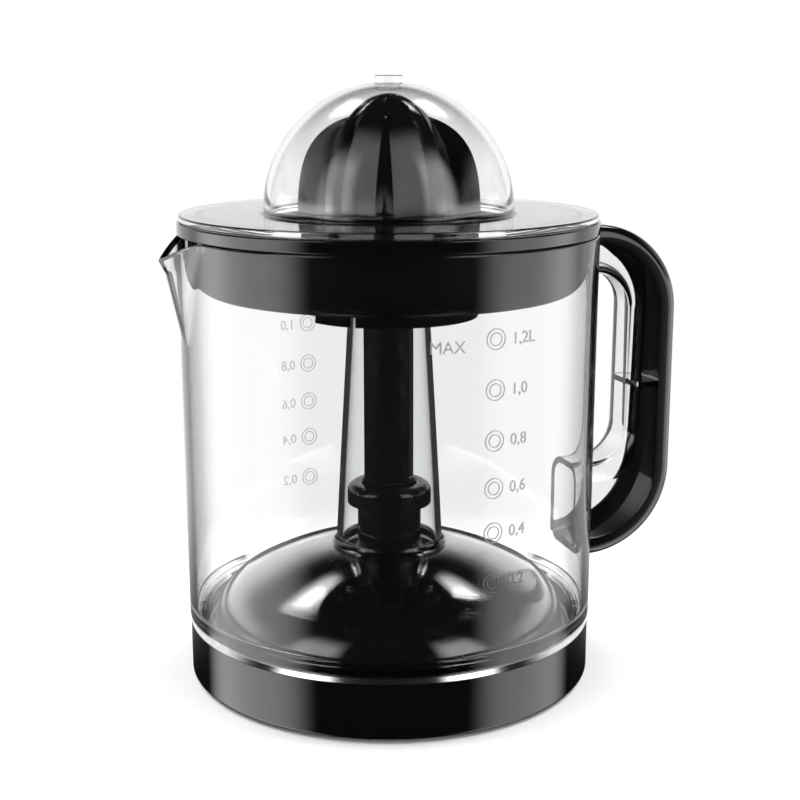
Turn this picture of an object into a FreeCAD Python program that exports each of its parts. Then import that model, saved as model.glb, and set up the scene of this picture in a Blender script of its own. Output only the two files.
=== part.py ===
import FreeCAD, Part
import math
import os

import Sketcher
from FreeCAD import Placement, Rotation, Vector

# Electric citrus press. The juicing axis is Z, the feet stand on z = 0,
# the jug handle points along +X and the pouring spout along -X.

doc = FreeCAD.newDocument("citrus_press")
dims = doc.addObject("Spreadsheet::Sheet", "dims")

DIMENSIONS = {
    # motor base
    "base_radius": 69, "base_foot": 1.2, "base_wall": 2.2, "rim_low": 19.4, "rim_top": 21.3,
    "bevel_width": 1.0, "recess_radius": 66.6, "recess_floor": 13.8, "foot_chamfer": 1.0,
    "neck_radius": 10.9, "neck_top": 58, "neck_bore": 7.0,
    "collar_radius": 14.4, "collar_top": 65.4, "collar_bore": 9.3, "collar_round": 2.6,
    # domed floor that jug and base share
    "dome_foot_radius": 60.5, "dome_spring": 17, "shoulder_round": 18, "shoulder_angle": 62,
    "crown_round": 121, "jug_base_gap": 0.6,
    # jug
    "jug_radius": 69.3, "jug_wall": 2.3, "jug_foot": 21.6, "jug_rim": 151.2, "ledge_under": 14.4,
    "spigot_radius": 65.9, "draft": 0.5, "foot_fillet": 2,
    "column_top": 124, "column_top_radius": 13.8, "column_kink": 69, "column_kink_radius": 17.0,
    "column_foot_radius": 18.3, "column_wall": 1.9, "column_fillet": 5,
    # spout
    "spout_low": 117, "spout_high": 149, "spout_tip": 78.5, "spout_half_width": 20,
    "spout_tip_drop": 5, "spout_root": 67.6, "spout_low_tip": 70.2, "spout_low_half_width": 4,
    # handle
    "grip_outer": 102.4, "grip_top_round": 30, "grip_top_straight": 122, "grip_low_round": 31.5,
    "grip_low_straight": 65.8, "grip_root": 67.6, "grip_inner": 87, "gap_top": 135, "gap_low": 67,
    "gap_round": 13, "channel_width": 23.2, "channel_wall": 2.3, "cover_skin": 3, "cover_lip": 6.6,
    "cover_width": 26, "cover_gap": 0.3, "cover_root": 70.6, "web_height": 95, "web_thick": 2,
    "cover_edge": 2.4,
    # strainer and pulp ring
    "flange_radius": 69.9, "flange_low": 151.4, "flange_top": 155.4, "bowl_radius": 66,
    "bowl_wall": 1.8, "bowl_bottom": 131.5, "bowl_round": 11, "hub_bore": 9.3, "hub_radius": 10.8,
    "hub_low": 126, "hub_top": 141, "ring_post_bore": 12.4, "ring_post_radius": 14, "bead_radius": 14.8,
    "ring_post_low": 124.6, "bead_height": 1.2, "slot_start": 17, "slot_end": 46, "slot_width": 2.2,
    "slot_count": 20, "slot_end_bend": 1.05,
    "ring_radius": 30, "ring_low": 123.5, "ring_top": 131.1, "ring_floor": 1.7, "ring_wall": 1.6,
    "ring_bore": 14.4, "ring_collar_low": 126.2, "ring_slot_end": 27, "slit_turn": -131, "slit_width": 2.2,
    "notch_turn": -180, "notch_width": 20, "notch_height": 2.3,
    "wall_rib_count": 32, "wall_rib_width": 1.0, "wall_rib_height": 0.4, "cut_margin": 0.1,
    # drive shaft and reamer
    "shaft_radius": 8.9, "shaft_foot": 61, "shaft_shoulder": 150, "tenon_radius": 6,
    "tenon_top": 172, "socket_radius": 4.5, "socket_top": 76, "clip_outer": 11, "clip_bore": 9.1,
    "clip_top": 125.6, "clip_thick": 1.2, "clip_gap": 2.4,
    "cone_foot": 137, "cone_apex": 196.3, "cone_tip": 0.8, "cone_turn": -111.5, "cone_wall": 2.2,
    "rib_radius": 26, "rib_thick": 4.6, "leaf_radius": 30.6, "leaf_half_width": 3.8, "leaf_tip": 190.2,
    "valley_depth": 3, "valley_dip": 0.7, "boss_radius": 9.5, "tenon_gap": 0.15, "tenon_end_gap": 0.3,
    # dust cover
    "brim_radius": 69.2, "brim_low": 155.6, "brim_thick": 2.2, "lid_radius": 41.5, "lid_top": 200,
    "lid_wall": 2.0, "nub_radius": 4.6, "nub_top": 202, "lid_fillet": 1.6, "locating_radius": 63.6,
    "locating_wall": 1.6, "locating_low": 152,
    # spindle, plunger and switch
    "spindle_radius": 4, "spindle_foot": 20, "spindle_round_top": 57.6, "spindle_top": 74,
    "bush_bore": 4.2, "bush_low": 44,
    "plunger_radius": 5.8, "plunger_low": 11, "plunger_top": 19.9, "arm_low": 17.8, "arm_reach": 16,
    "arm_width": 6, "arm_thick": 1.9, "spring_radius": 4, "spring_wire": 0.7, "spring_turns": 4,
    "guide_bore": 6.2, "guide_radius": 8, "guide_top": 13,
    "switch_x": 14, "switch_width": 6.5, "switch_length": 18, "switch_far": 22, "switch_low": 3.4,
    "switch_high": 14, "lever_pivot_y": 20, "lever_pivot_z": 14.6, "lever_length": 21.5,
    "lever_width": 4.5, "lever_thick": 0.5, "lever_rise": 7.2, "lever_eye": 0.9,
    # geared synchronous motor
    "motor_x": -31, "can_radius": 22, "can_low": 4.6, "can_top": 20.2, "can_wall": 0.9,
    "bobbin_outer": 19.5, "bobbin_inner": 13, "bobbin_height": 9, "rotor_radius": 10, "rotor_height": 10,
    "rotor_shaft": 1, "rotor_shaft_low": 5.8, "pinion_top": 27, "pinion_overlap": 0.4,
    "claw_thick": 0.8, "claw_short": 0.6, "claw_count": 6, "air_gap": 0.6,
    "press_gap": 0.01,
    "plate_radius": 43, "plate_x": -8, "plate_low": 20.4, "plate_thick": 1.6, "plate_hole": 6.9,
    "stage_one_low": 22.8, "stage_one_high": 26.4, "stage_two_low": 27.4, "stage_two_high": 33.6,
    "pinion_teeth": 10, "idler_teeth": 48, "output_teeth": 50, "fine_module": 0.8, "coarse_module": 1.0,
    "backlash": 0.3, "output_hub": 6.5, "output_bore": 4.3, "output_hub_low": 20.6, "output_hub_top": 36,
    "axle_radius": 1.5, "axle_top": 34.6, "post_radius": 3.5, "post_x": 14, "post_y": 30, "rear_post_x": -43,
    # base closure
    "floor_radius": 66.4, "floor_low": 1.6, "floor_thick": 1.8, "pad_radius": 5, "pad_ring": 50,
    "pad_angle": 45, "boss_ring": 61.2, "screw_boss": 3.2, "screw_shank": 1.4, "screw_head": 2.7,
    "plate_screw": 7.6,
    "screw_head_low": 0.6, "screw_end": 10.5, "screw_angle": 45, "fit_gap": 0.1,
    "gland_radius": 3.2, "gland_height": 7.5, "gland_bore": 2.2, "gland_flange": 3.9,
    "gland_flange_thick": 1.2, "gland_gap": 0.6, "terminal_x": 30, "terminal_y": 24, "terminal_length": 18,
    "terminal_width": 8, "terminal_height": 8,
}


class Size:
    """A length with its present value and the sheet formula that drives it."""

    def __init__(self, value, formula):
        self.value = value
        self.formula = formula

    def combined(self, other, sign, value):
        return Size(value, f"({self.formula} {sign} {as_size(other).formula})")

    def __add__(self, other):
        return self.combined(other, "+", self.value + as_size(other).value)

    def __sub__(self, other):
        return self.combined(other, "-", self.value - as_size(other).value)

    def __mul__(self, other):
        return self.combined(other, "*", self.value * as_size(other).value)

    def __truediv__(self, other):
        return self.combined(other, "/", self.value / as_size(other).value)

    def __neg__(self):
        return Size(-self.value, f"(-1 * {self.formula})")


def as_size(number):
    return number if isinstance(number, Size) else Size(float(number), f"{float(number):.6f}")


def cosine(angle):
    return Size(math.cos(math.radians(angle.value)), f"cos({angle.formula} * 1 deg)")


def sine(angle):
    return Size(math.sin(math.radians(angle.value)), f"sin({angle.formula} * 1 deg)")


def root(square):
    return Size(math.sqrt(square.value), f"sqrt({square.formula})")


def fill_sheet():
    for row, (alias, value) in enumerate(DIMENSIONS.items(), start=1):
        dims.set(f"A{row}", alias)
        dims.set(f"B{row}", str(value))
        dims.setAlias(f"B{row}", alias)
    doc.recompute()
    return {alias: Size(float(dims.get(alias)), f"dims.{alias}") for alias in DIMENSIONS}


D = fill_sheet()
ZERO = as_size(0)
PARTS = []


# Sketching and feature helpers

def new_body(label):
    body = doc.addObject("PartDesign::Body", label)
    body.Label = label
    PARTS.append(body)
    return body


def origin_item(body, role):
    return next(item for item in body.Origin.OriginFeatures if item.Role == role)


def new_sketch(body, plane, height=ZERO):
    sketch = body.newObject("Sketcher::SketchObject", f"{body.Label}_sketch")
    sketch.AttachmentSupport = (origin_item(body, plane), [""])
    sketch.MapMode = "FlatFace"
    sketch.AttachmentOffset = Placement(Vector(0, 0, height.value), Rotation())
    sketch.setExpression(".AttachmentOffset.Base.z", height.formula)
    return sketch


def drive(sketch, kind, first, second, size, name):
    """Add one driving constraint whose value follows the sheet."""
    index = sketch.addConstraint(Sketcher.Constraint(kind, *first, *second, size.value))
    sketch.renameConstraint(index, name)
    sketch.setExpression(f".Constraints.{name}", size.formula)


def pin_point(sketch, curve, end, point, name):
    """Hold one end of a curve at a point measured from the sketch origin."""
    for axis, kind, size, line in (("x", "DistanceX", point[0], -2), ("y", "DistanceY", point[1], -1)):
        if size.value == 0:
            sketch.addConstraint(Sketcher.Constraint("PointOnObject", curve, end, line))
        else:
            drive(sketch, kind, (-1, 1), (curve, end), size, f"{name}_{axis}")


def arc_between(start, end, radius, turn):
    """Circular arc of a given radius; turn +1 bends to the left, -1 to the right."""
    chord = end - start
    half = chord.Length / 2
    rise = math.sqrt(max(radius * radius - half * half, 0))
    normal = Vector(-chord.y, chord.x, 0).normalize()
    centre = (start + end) * 0.5 + normal * (rise * turn)
    first, last = (start, end) if turn > 0 else (end, start)
    angles = [math.atan2(p.y - centre.y, p.x - centre.x) for p in (first, last)]
    if angles[1] < angles[0]:
        angles[1] += 2 * math.pi
    return Part.ArcOfCircle(Part.Circle(centre, Vector(0, 0, 1), radius), *angles)


def outline(sketch, steps):
    """Closed outline. A step is (x, y) or, for an arc that ends there, (x, y, radius, turn)."""
    steps = [tuple(as_size(v) for v in step[:3]) + tuple(step[3:]) for step in steps]
    corners = [Vector(step[0].value, step[1].value, 0) for step in steps]
    starts, ends = [], []
    for index, step in enumerate(steps):
        begin, finish = corners[index - 1], corners[index]
        if len(step) == 4:
            curve = sketch.addGeometry(arc_between(begin, finish, step[2].value, step[3]))
            starts.append((curve, 1 if step[3] > 0 else 2))
            ends.append((curve, 2 if step[3] > 0 else 1))
        else:
            curve = sketch.addGeometry(Part.LineSegment(begin, finish))
            starts.append((curve, 1))
            ends.append((curve, 2))
    count = len(steps)
    for index in range(count):
        sketch.addConstraint(Sketcher.Constraint("Coincident", *ends[index], *starts[(index + 1) % count]))
        pin_point(sketch, *ends[index], steps[index], f"p{index}")
        if len(steps[index]) == 4:
            drive(sketch, "Radius", (ends[index][0],), (), steps[index][2], f"r{index}")
    return sketch


def circles(sketch, *rings):
    """Full circles, each given as (centre x, centre y, radius)."""
    for number, (x, y, radius) in enumerate(rings):
        x, y, radius = as_size(x), as_size(y), as_size(radius)
        centre = Vector(x.value, y.value, 0)
        curve = sketch.addGeometry(Part.Circle(centre, Vector(0, 0, 1), radius.value))
        pin_point(sketch, curve, 3, (x, y), f"c{number}")
        drive(sketch, "Radius", (curve,), (), radius, f"ring{number}")
    return sketch


def revolve(body, steps, kind="PartDesign::Revolution"):
    """Turn an outline of (radius, height) steps about the Z axis."""
    sketch = outline(new_sketch(body, "XZ_Plane"), steps)
    turned = body.newObject(kind, f"{body.Label}_turned")
    turned.Profile = sketch
    turned.ReferenceAxis = (sketch, ["V_Axis"])
    turned.Angle = 360
    doc.recompute()
    return turned


def extrude(body, sketch, length, kind="PartDesign::Pad", midplane=False, reverse=False):
    feature = body.newObject(kind, f"{body.Label}_{kind.split('::')[1].lower()}")
    feature.Profile = sketch
    feature.setExpression("Length", length.formula)
    feature.Midplane = midplane
    feature.Reversed = reverse
    doc.recompute()
    return feature


def cut(body, sketch, length, midplane=False, reverse=False):
    """Pocket that is sure to remove material."""
    before = body.Shape.Volume
    feature = extrude(body, sketch, length, "PartDesign::Pocket", midplane, reverse)
    if body.Shape.Volume > before - 1e-3:
        raise RuntimeError(f"pocket in {body.Label} cuts nothing")
    return feature


def around(body, feature, count):
    """Repeat a feature evenly about the Z axis."""
    pattern = body.newObject("PartDesign::PolarPattern", f"{body.Label}_pattern")
    pattern.Originals = [feature]
    pattern.Axis = (origin_item(body, "Z_Axis"), [""])
    pattern.Angle = 360
    pattern.setExpression("Occurrences", count.formula)
    body.Tip = pattern
    doc.recompute()
    return pattern


def tube(label, inner, outer, low, high, x=ZERO, y=ZERO):
    """Plain ring or disc standing on z = low."""
    body = new_body(label)
    rings = [(x, y, outer)] + ([(x, y, inner)] if inner.value else [])
    extrude(body, circles(new_sketch(body, "XY_Plane", low), *rings), high - low)
    return body


def shaped(label, shape, place=Placement()):
    """Piece whose form follows a rule in code."""
    feature = doc.addObject("Part::Feature", label)
    feature.Label = label
    feature.Shape = shape
    feature.Placement = place
    PARTS.append(feature)
    return feature


# Domed floor: the shoulder arc and the flat crown arc have fixed centres, so jug and base
# domes are offsets of one another.

SHOULDER_X = D["dome_foot_radius"] - D["shoulder_round"]
CROWN_X = SHOULDER_X - (D["crown_round"] - D["shoulder_round"]) * cosine(D["shoulder_angle"])
CROWN_Z = D["dome_spring"] - (D["crown_round"] - D["shoulder_round"]) * sine(D["shoulder_angle"])


def dome_steps(inset, stop_radius, foot):
    """Dome from its foot up to stop_radius, drawn inset from the jug's wetted face."""
    shoulder = D["shoulder_round"] - inset
    crown = D["crown_round"] - inset
    offset = stop_radius - CROWN_X
    top = CROWN_Z + root(crown * crown - offset * offset)
    return [
        (SHOULDER_X + shoulder, foot),
        (SHOULDER_X + shoulder, D["dome_spring"]),
        (SHOULDER_X + shoulder * cosine(D["shoulder_angle"]),
         D["dome_spring"] + shoulder * sine(D["shoulder_angle"]), shoulder, 1),
        (stop_radius, top, crown, 1),
    ]


BASE_INSET = D["jug_wall"] + D["jug_base_gap"]
CEILING_INSET = BASE_INSET + D["base_wall"]
RECESS_UNDER = D["recess_floor"] - D["base_wall"]


def reversed_steps(steps):
    """The same run of lines and arcs, drawn from its far end."""
    result = [steps[-1][:2]]
    for current, previous in zip(steps[:0:-1], steps[-2::-1]):
        bend = (current[2], -current[3]) if len(current) == 4 else ()
        result.append(previous[:2] + bend)
    return result


def screw_spots():
    """Centres of the four screws that hold the base plate."""
    across = D["boss_ring"] * cosine(D["screw_angle"])
    along = D["boss_ring"] * sine(D["screw_angle"])
    return [(across, along), (-along, across), (-across, -along), (along, -across)]


def base_housing():
    """Gloss motor housing: bevelled ring, recess for the jug, dome and neck."""
    body = new_body("base_housing")
    skirt = D["base_radius"] - D["base_wall"]
    revolve(body, [
        (skirt, D["base_foot"]),
        (D["base_radius"] - D["foot_chamfer"], D["base_foot"]),
        (D["base_radius"], D["base_foot"] + D["foot_chamfer"]),
        (D["base_radius"], D["rim_low"]),
        (D["base_radius"] - D["bevel_width"], D["rim_top"]),
        (D["recess_radius"], D["rim_top"]),
        (D["recess_radius"], D["recess_floor"]),
        *dome_steps(BASE_INSET, D["neck_radius"], D["recess_floor"]),
        (D["neck_radius"], D["neck_top"]),
        (D["neck_bore"], D["neck_top"]),
        *reversed_steps(dome_steps(CEILING_INSET, D["neck_bore"], RECESS_UNDER)),
        (skirt, RECESS_UNDER),
    ])
    boss_low = D["floor_low"] + D["floor_thick"]
    ring = new_sketch(body, "XY_Plane", boss_low)
    x, y = screw_spots()[0]
    circles(ring, (x, y, D["screw_boss"]), (x, y, D["screw_shank"] + D["fit_gap"]))
    around(body, extrude(body, ring, RECESS_UNDER - boss_low + D["base_wall"] / 2), as_size(4))
    plate_top = D["plate_low"] + D["plate_thick"]
    posts = [(D["post_x"], D["post_y"]), (D["post_x"], -D["post_y"]), (D["rear_post_x"], ZERO)]
    for x, y in posts:
        sketch = new_sketch(body, "XY_Plane", plate_top)
        circles(sketch, (x, y, D["post_radius"]), (x, y, D["screw_shank"] + D["fit_gap"]))
        reach = math.hypot(x.value, y.value)
        crown = D["crown_round"].value - CEILING_INSET.value
        ceiling = CROWN_Z.value + math.sqrt(crown ** 2 - (reach - CROWN_X.value) ** 2)
        extrude(body, sketch, as_size(ceiling - plate_top.value + D["base_wall"].value / 4))
    gland = new_sketch(body, "XZ_Plane")
    circles(gland, (0, D["gland_height"], D["gland_radius"] + D["fit_gap"]))
    cut(body, gland, D["base_radius"] + 1, reverse=False)
    return body


def splash_collar():
    """Rounded collar on the neck that keeps juice off the spindle."""
    body = new_body("splash_collar")
    radius, bend = D["collar_radius"], D["collar_round"]
    low = D["neck_top"]
    revolve(body, [
        (D["collar_bore"], low),
        (radius - D["foot_chamfer"], low),
        (radius, low + D["foot_chamfer"]),
        (radius, D["collar_top"] - bend),
        (radius - bend, D["collar_top"], bend, 1),
        (D["collar_bore"] + D["foot_chamfer"], D["collar_top"]),
        (D["collar_bore"], D["collar_top"] - D["foot_chamfer"], D["foot_chamfer"], 1),
    ])


def jug():
    """Clear jug: wall with spigot foot, domed floor, hollow column, spout and handle channel."""
    body = new_body("jug")
    outer, wall = D["jug_radius"], D["jug_wall"]
    inner = outer - wall
    ledge = D["ledge_under"] + wall
    foot_bend = D["foot_fillet"]
    spigot_inside = D["spigot_radius"] - wall
    thick = D["column_wall"]
    crown_top = dome_steps(ZERO, D["column_foot_radius"] + D["column_fillet"], ledge)
    under = dome_steps(wall, D["column_foot_radius"] - thick, D["ledge_under"])
    revolve(body, [
        (inner + D["draft"], D["jug_rim"]),
        (inner, D["jug_foot"] + wall * 2),
        (spigot_inside, D["jug_foot"] + wall / 2),
        (spigot_inside, ledge + foot_bend),
        (spigot_inside - foot_bend, ledge, foot_bend, -1),
        *crown_top,
        (D["column_foot_radius"], crown_top[-1][1] + D["column_fillet"], D["column_fillet"], -1),
        (D["column_kink_radius"], D["column_kink"]),
        (D["column_top_radius"], D["column_top"]),
        (D["column_top_radius"] - thick, D["column_top"]),
        (D["column_kink_radius"] - thick, D["column_kink"]),
        (D["column_foot_radius"] - thick, under[-1][1] + thick / 2),
        *reversed_steps(under),
        (D["spigot_radius"], D["ledge_under"]),
        (D["spigot_radius"], D["jug_foot"]),
        (outer, D["jug_foot"]),
        (outer + D["draft"], D["jug_rim"]),
    ])
    add_spout(body)
    add_handle_channel(body)
    return body


def beak(sketch, tip, half_width, root_x):
    """Pointed beak seen from above, with its tip at -tip."""
    return outline(sketch, [(-root_x, half_width), (-tip, ZERO), (-root_x, -half_width)])


def loft(body, kind, sections):
    feature = body.newObject(kind, f"{body.Label}_loft")
    feature.Profile = sections[0]
    feature.Sections = sections[1:]
    feature.Ruled = True
    doc.recompute()
    return feature


def add_spout(body):
    """Beak-shaped pouring lip drawn out of the rim, open to the inside."""
    low, high = D["spout_low"], D["spout_high"]
    loft(body, "PartDesign::AdditiveLoft", [
        beak(new_sketch(body, "XY_Plane", low), D["spout_low_tip"], D["spout_low_half_width"],
             D["spout_root"]),
        beak(new_sketch(body, "XY_Plane", high), D["spout_tip"], D["spout_half_width"], D["spout_root"]),
    ])
    skin = D["jug_wall"]
    throat = D["spout_root"] - skin * 1.6
    before = body.Shape.Volume
    loft(body, "PartDesign::SubtractiveLoft", [
        beak(new_sketch(body, "XY_Plane", low + skin), D["spout_low_tip"] - skin,
             D["spout_low_half_width"] / 2, throat),
        beak(new_sketch(body, "XY_Plane", high), D["spout_tip"] - skin * 1.4, D["spout_half_width"] - skin,
             throat),
    ])
    if body.Shape.Volume > before - 1:
        raise RuntimeError("spout throat cuts nothing")
    slope = new_sketch(body, "XZ_Plane")
    reach = D["spout_tip"] + 1
    outline(slope, [(-reach, high - D["spout_tip_drop"]), (-D["jug_radius"] - 1, high),
                    (-D["jug_radius"] - 1, high + 1), (-reach, high + 1)])
    cut(body, slope, D["spout_half_width"] * 2, midplane=True)


def grip_curve(inset):
    """Outer run of the handle, top to bottom, drawn inset from the cover's outer face."""
    outer = D["grip_outer"] - inset
    top, low = D["grip_top_round"] - inset, D["grip_low_round"] - inset
    return [
        (outer - top, D["grip_top_straight"] + top),
        (outer, D["grip_top_straight"], top, -1),
        (outer, D["grip_low_straight"]),
        (outer - low, D["grip_low_straight"] - low, low, -1),
    ]


def finger_curve(inset, root_x):
    """Finger gap, bottom to top; a positive inset draws it deeper into the grip."""
    face = D["grip_inner"] + inset
    bend = D["gap_round"] + inset
    return [
        (root_x, D["gap_low"] - inset),
        (face - bend, D["gap_low"] - inset),
        (face, D["gap_low"] - inset + bend, bend, 1),
        (face, D["gap_top"] + inset - bend),
        (face - bend, D["gap_top"] + inset, bend, 1),
        (root_x, D["gap_top"] + inset),
    ]


def band(sketch, outer_inset, finger_inset, root_x):
    """Closed side view of the grip between its outer run and the finger gap."""
    run = grip_curve(outer_inset)
    return outline(sketch, [(root_x, run[0][1]), *run, (root_x, run[-1][1]),
                            *finger_curve(finger_inset, root_x)])


def add_handle_channel(body):
    """Clear channel that carries the grip: inner web, two side walls and a cross web."""
    skin = D["channel_wall"]
    seat = D["cover_skin"] + D["cover_gap"]
    extrude(body, band(new_sketch(body, "XZ_Plane"), seat, ZERO, D["grip_root"]), D["channel_width"],
            midplane=True)
    hollow = band(new_sketch(body, "XZ_Plane"), ZERO, skin, D["jug_radius"] + D["draft"] + skin / 2)
    cut(body, hollow, D["channel_width"] - skin * 2, midplane=True)
    web = new_sketch(body, "XZ_Plane")
    half = D["web_thick"] / 2
    reach = D["grip_outer"] - seat
    face = D["grip_inner"] + skin / 2
    outline(web, [(face, D["web_height"] - half), (reach, D["web_height"] - half),
                  (reach, D["web_height"] + half), (face, D["web_height"] + half)])
    extrude(body, web, D["channel_width"] - skin, midplane=True)


def handle_cover():
    """Gloss outer shell of the handle, which grips the clear channel with two lips."""
    body = new_body("handle_cover")
    run = grip_curve(ZERO)
    lip = grip_curve(D["cover_lip"])
    start = D["cover_root"]
    sketch = new_sketch(body, "XZ_Plane")
    outline(sketch, [(start, run[0][1]), *run, (start, run[-1][1]), (start, lip[-1][1]),
                     *reversed_steps(lip), (start, lip[0][1])])
    blank = extrude(body, sketch, D["cover_width"], midplane=True)
    long_edges = [f"Edge{number}" for number, edge in enumerate(body.Shape.Edges, start=1)
                  if follows_outer_run(edge, run)]
    soft = body.newObject("PartDesign::Fillet", "handle_cover_soft")
    soft.Base = (blank, long_edges)
    soft.setExpression("Radius", D["cover_edge"].formula)
    doc.recompute()
    nest = new_sketch(body, "XZ_Plane")
    inner = grip_curve(D["cover_skin"])
    outline(nest, [(start - 1, inner[0][1]), *inner, (start - 1, inner[-1][1]),
                   (start - 1, lip[-1][1] + D["cover_lip"]), (start - 1, lip[0][1] - D["cover_lip"])])
    cut(body, nest, D["channel_width"] + D["cover_gap"] * 2, midplane=True)
    return body


def follows_outer_run(edge, run):
    """True for the edges where the cover's outer face meets its two sides."""
    middle = edge.valueAt((edge.FirstParameter + edge.LastParameter) / 2)
    if abs(abs(middle.y) - D["cover_width"].value / 2) > 0.01:
        return False
    outer, top, low = D["grip_outer"].value, D["grip_top_round"].value, D["grip_low_round"].value
    upper = Vector(outer - top, middle.y, D["grip_top_straight"].value)
    lower = Vector(outer - low, middle.y, D["grip_low_straight"].value)
    return (abs(middle.x - outer) < 0.01
            or abs((middle - upper).Length - top) < 0.01
            or abs((middle - lower).Length - low) < 0.01
            or (middle.x < upper.x and abs(middle.z - run[0][1].value) < 0.01)
            or (middle.x < lower.x and abs(middle.z - run[-1][1].value) < 0.01))


def strainer():
    """Strainer bowl with its flange, hub, ring post, floor slots and fluted wall."""
    body = new_body("strainer")
    outer, wall = D["bowl_radius"], D["bowl_wall"]
    bottom, bend = D["bowl_bottom"], D["bowl_round"]
    floor = bottom + wall
    revolve(body, [
        (D["flange_radius"], D["flange_low"]),
        (D["flange_radius"], D["flange_top"]),
        (outer - wall, D["flange_top"]),
        (outer - wall, bottom + bend),
        (outer - bend, floor, bend - wall, -1),
        (D["hub_radius"], floor),
        (D["hub_radius"], D["hub_top"]),
        (D["hub_bore"], D["hub_top"]),
        (D["hub_bore"], D["hub_low"]),
        (D["hub_radius"], D["hub_low"]),
        (D["hub_radius"], bottom),
        (D["ring_post_bore"], bottom),
        (D["ring_post_bore"], D["ring_post_low"]),
        (D["bead_radius"], D["ring_post_low"]),
        (D["ring_post_radius"], D["ring_post_low"] + D["bead_height"]),
        (D["ring_post_radius"], bottom),
        (outer - bend, bottom),
        (outer, bottom + bend, bend, 1),
        (outer, D["flange_low"]),
    ])
    around(body, radial_slot(body, D["slot_end"], bottom, wall), D["slot_count"])
    rib = new_sketch(body, "XY_Plane", bottom + bend)
    radial_box(rib, ZERO, outer - wall / 2, outer + D["wall_rib_height"], D["wall_rib_width"])
    around(body, extrude(body, rib, D["flange_low"] - bottom - bend), D["wall_rib_count"])
    return body


def radial_box(sketch, turn, near, far, width):
    """Rectangle that runs outwards from the axis at an angle."""
    half = width / 2
    corners = [(near, -half), (far, -half), (far, half), (near, half)]
    if turn.value == 0:
        return outline(sketch, corners)
    return outline(sketch, [(u * cosine(turn) - v * sine(turn), u * sine(turn) + v * cosine(turn))
                            for u, v in corners])


def radial_slot(body, far_end, low, thick):
    """One round-ended slot along +X through a floor."""
    half = D["slot_width"] / 2
    near = D["slot_start"] + half
    far = far_end - half
    sketch = new_sketch(body, "XY_Plane", low - D["cut_margin"])
    bend = half * D["slot_end_bend"]
    outline(sketch, [(far, -half), (far, half, bend, 1), (near, half), (near, -half, bend, 1)])
    return cut(body, sketch, thick + D["cut_margin"] * 2, reverse=True)


def pulp_ring():
    """Turning ring under the strainer that opens or closes the inner part of its slots."""
    body = new_body("pulp_ring")
    top, floor = D["ring_top"], D["ring_top"] - D["ring_floor"]
    collar = D["ring_bore"] + D["ring_wall"]
    skirt = D["ring_radius"] - D["ring_wall"]
    revolve(body, [
        (D["ring_bore"], D["ring_collar_low"]),
        (collar, D["ring_collar_low"]),
        (collar, floor),
        (skirt, floor),
        (skirt, D["ring_low"]),
        (D["ring_radius"], D["ring_low"]),
        (D["ring_radius"], top),
        (D["ring_bore"], top),
    ])
    around(body, radial_slot(body, D["ring_slot_end"], floor, D["ring_floor"]), D["slot_count"])
    beyond = D["ring_radius"] + D["ring_wall"]
    low = D["ring_low"] - D["cut_margin"]
    slit = radial_box(new_sketch(body, "XY_Plane", low), D["slit_turn"], skirt - D["ring_wall"], beyond,
                      D["slit_width"])
    cut(body, slit, floor - low, reverse=True)
    notch = radial_box(new_sketch(body, "XY_Plane", low), D["notch_turn"], collar, beyond, D["notch_width"])
    cut(body, notch, D["notch_height"], reverse=True)
    return body


def hexagon(sketch, radius):
    """Regular six-sided outline with a corner on +X."""
    return outline(sketch, [(radius * math.cos(k * math.pi / 3), radius * math.sin(k * math.pi / 3))
                            if k % 3 else (radius * (1 if k == 0 else -1), ZERO) for k in range(6)])


def drive_shaft():
    """Six-sided shaft from the spindle up into the cone, with a hexagon socket at its foot."""
    body = new_body("drive_shaft")
    extrude(body, hexagon(new_sketch(body, "XY_Plane", D["shaft_foot"]), D["shaft_radius"]),
            D["shaft_shoulder"] - D["shaft_foot"])
    extrude(body, circles(new_sketch(body, "XY_Plane", D["shaft_shoulder"]), (0, 0, D["tenon_radius"])),
            D["tenon_top"] - D["shaft_shoulder"])
    cut(body, hexagon(new_sketch(body, "XY_Plane", D["shaft_foot"]), D["socket_radius"]),
        D["socket_top"] - D["shaft_foot"], reverse=True)
    return body


def retaining_clip():
    """Spring clip under the strainer hub that keeps the shaft captive."""
    low = D["clip_top"] - D["clip_thick"]
    body = tube("retaining_clip", D["clip_bore"], D["clip_outer"], low, D["clip_top"])
    gap = new_sketch(body, "XY_Plane", low)
    radial_box(gap, ZERO, ZERO, D["clip_outer"] + D["clip_thick"], D["clip_gap"])
    cut(body, gap, D["clip_thick"], reverse=True)
    return body


def cone_eighth(height):
    """Corners of an eighth of the section: leaf crest, leaf foot, hollow, rib foot and rib edge."""
    foot, quarter = D["cone_foot"].value, math.pi / 4
    rise = (height - foot) / (D["cone_apex"].value - foot)
    leaf_rise = min((height - foot) / (D["leaf_tip"].value - foot), 1)
    full, tip = D["rib_radius"].value, D["cone_tip"].value
    rib = tip + (full - tip) * (1 - rise ** 3.6) ** 0.62
    hollow = rib * (1 - D["valley_depth"].value / full)
    leaf = max(D["leaf_radius"].value * (1 - leaf_rise ** 5) ** 0.42, hollow * 1.01)
    leaf_half = D["leaf_half_width"].value * math.sqrt(1 - leaf_rise ** 2)
    leaf_foot = max(leaf_half / full, 0.03)
    half = min(D["rib_thick"].value / 2, hollow * 0.55)
    rib_foot = quarter - math.asin(half / hollow)
    dip = D["valley_dip"].value * rib / full
    return [(0, leaf), (leaf_foot, hollow), ((leaf_foot + rib_foot) / 2, hollow - dip), (rib_foot, hollow),
            (quarter - math.asin(half / rib), rib)]


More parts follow.
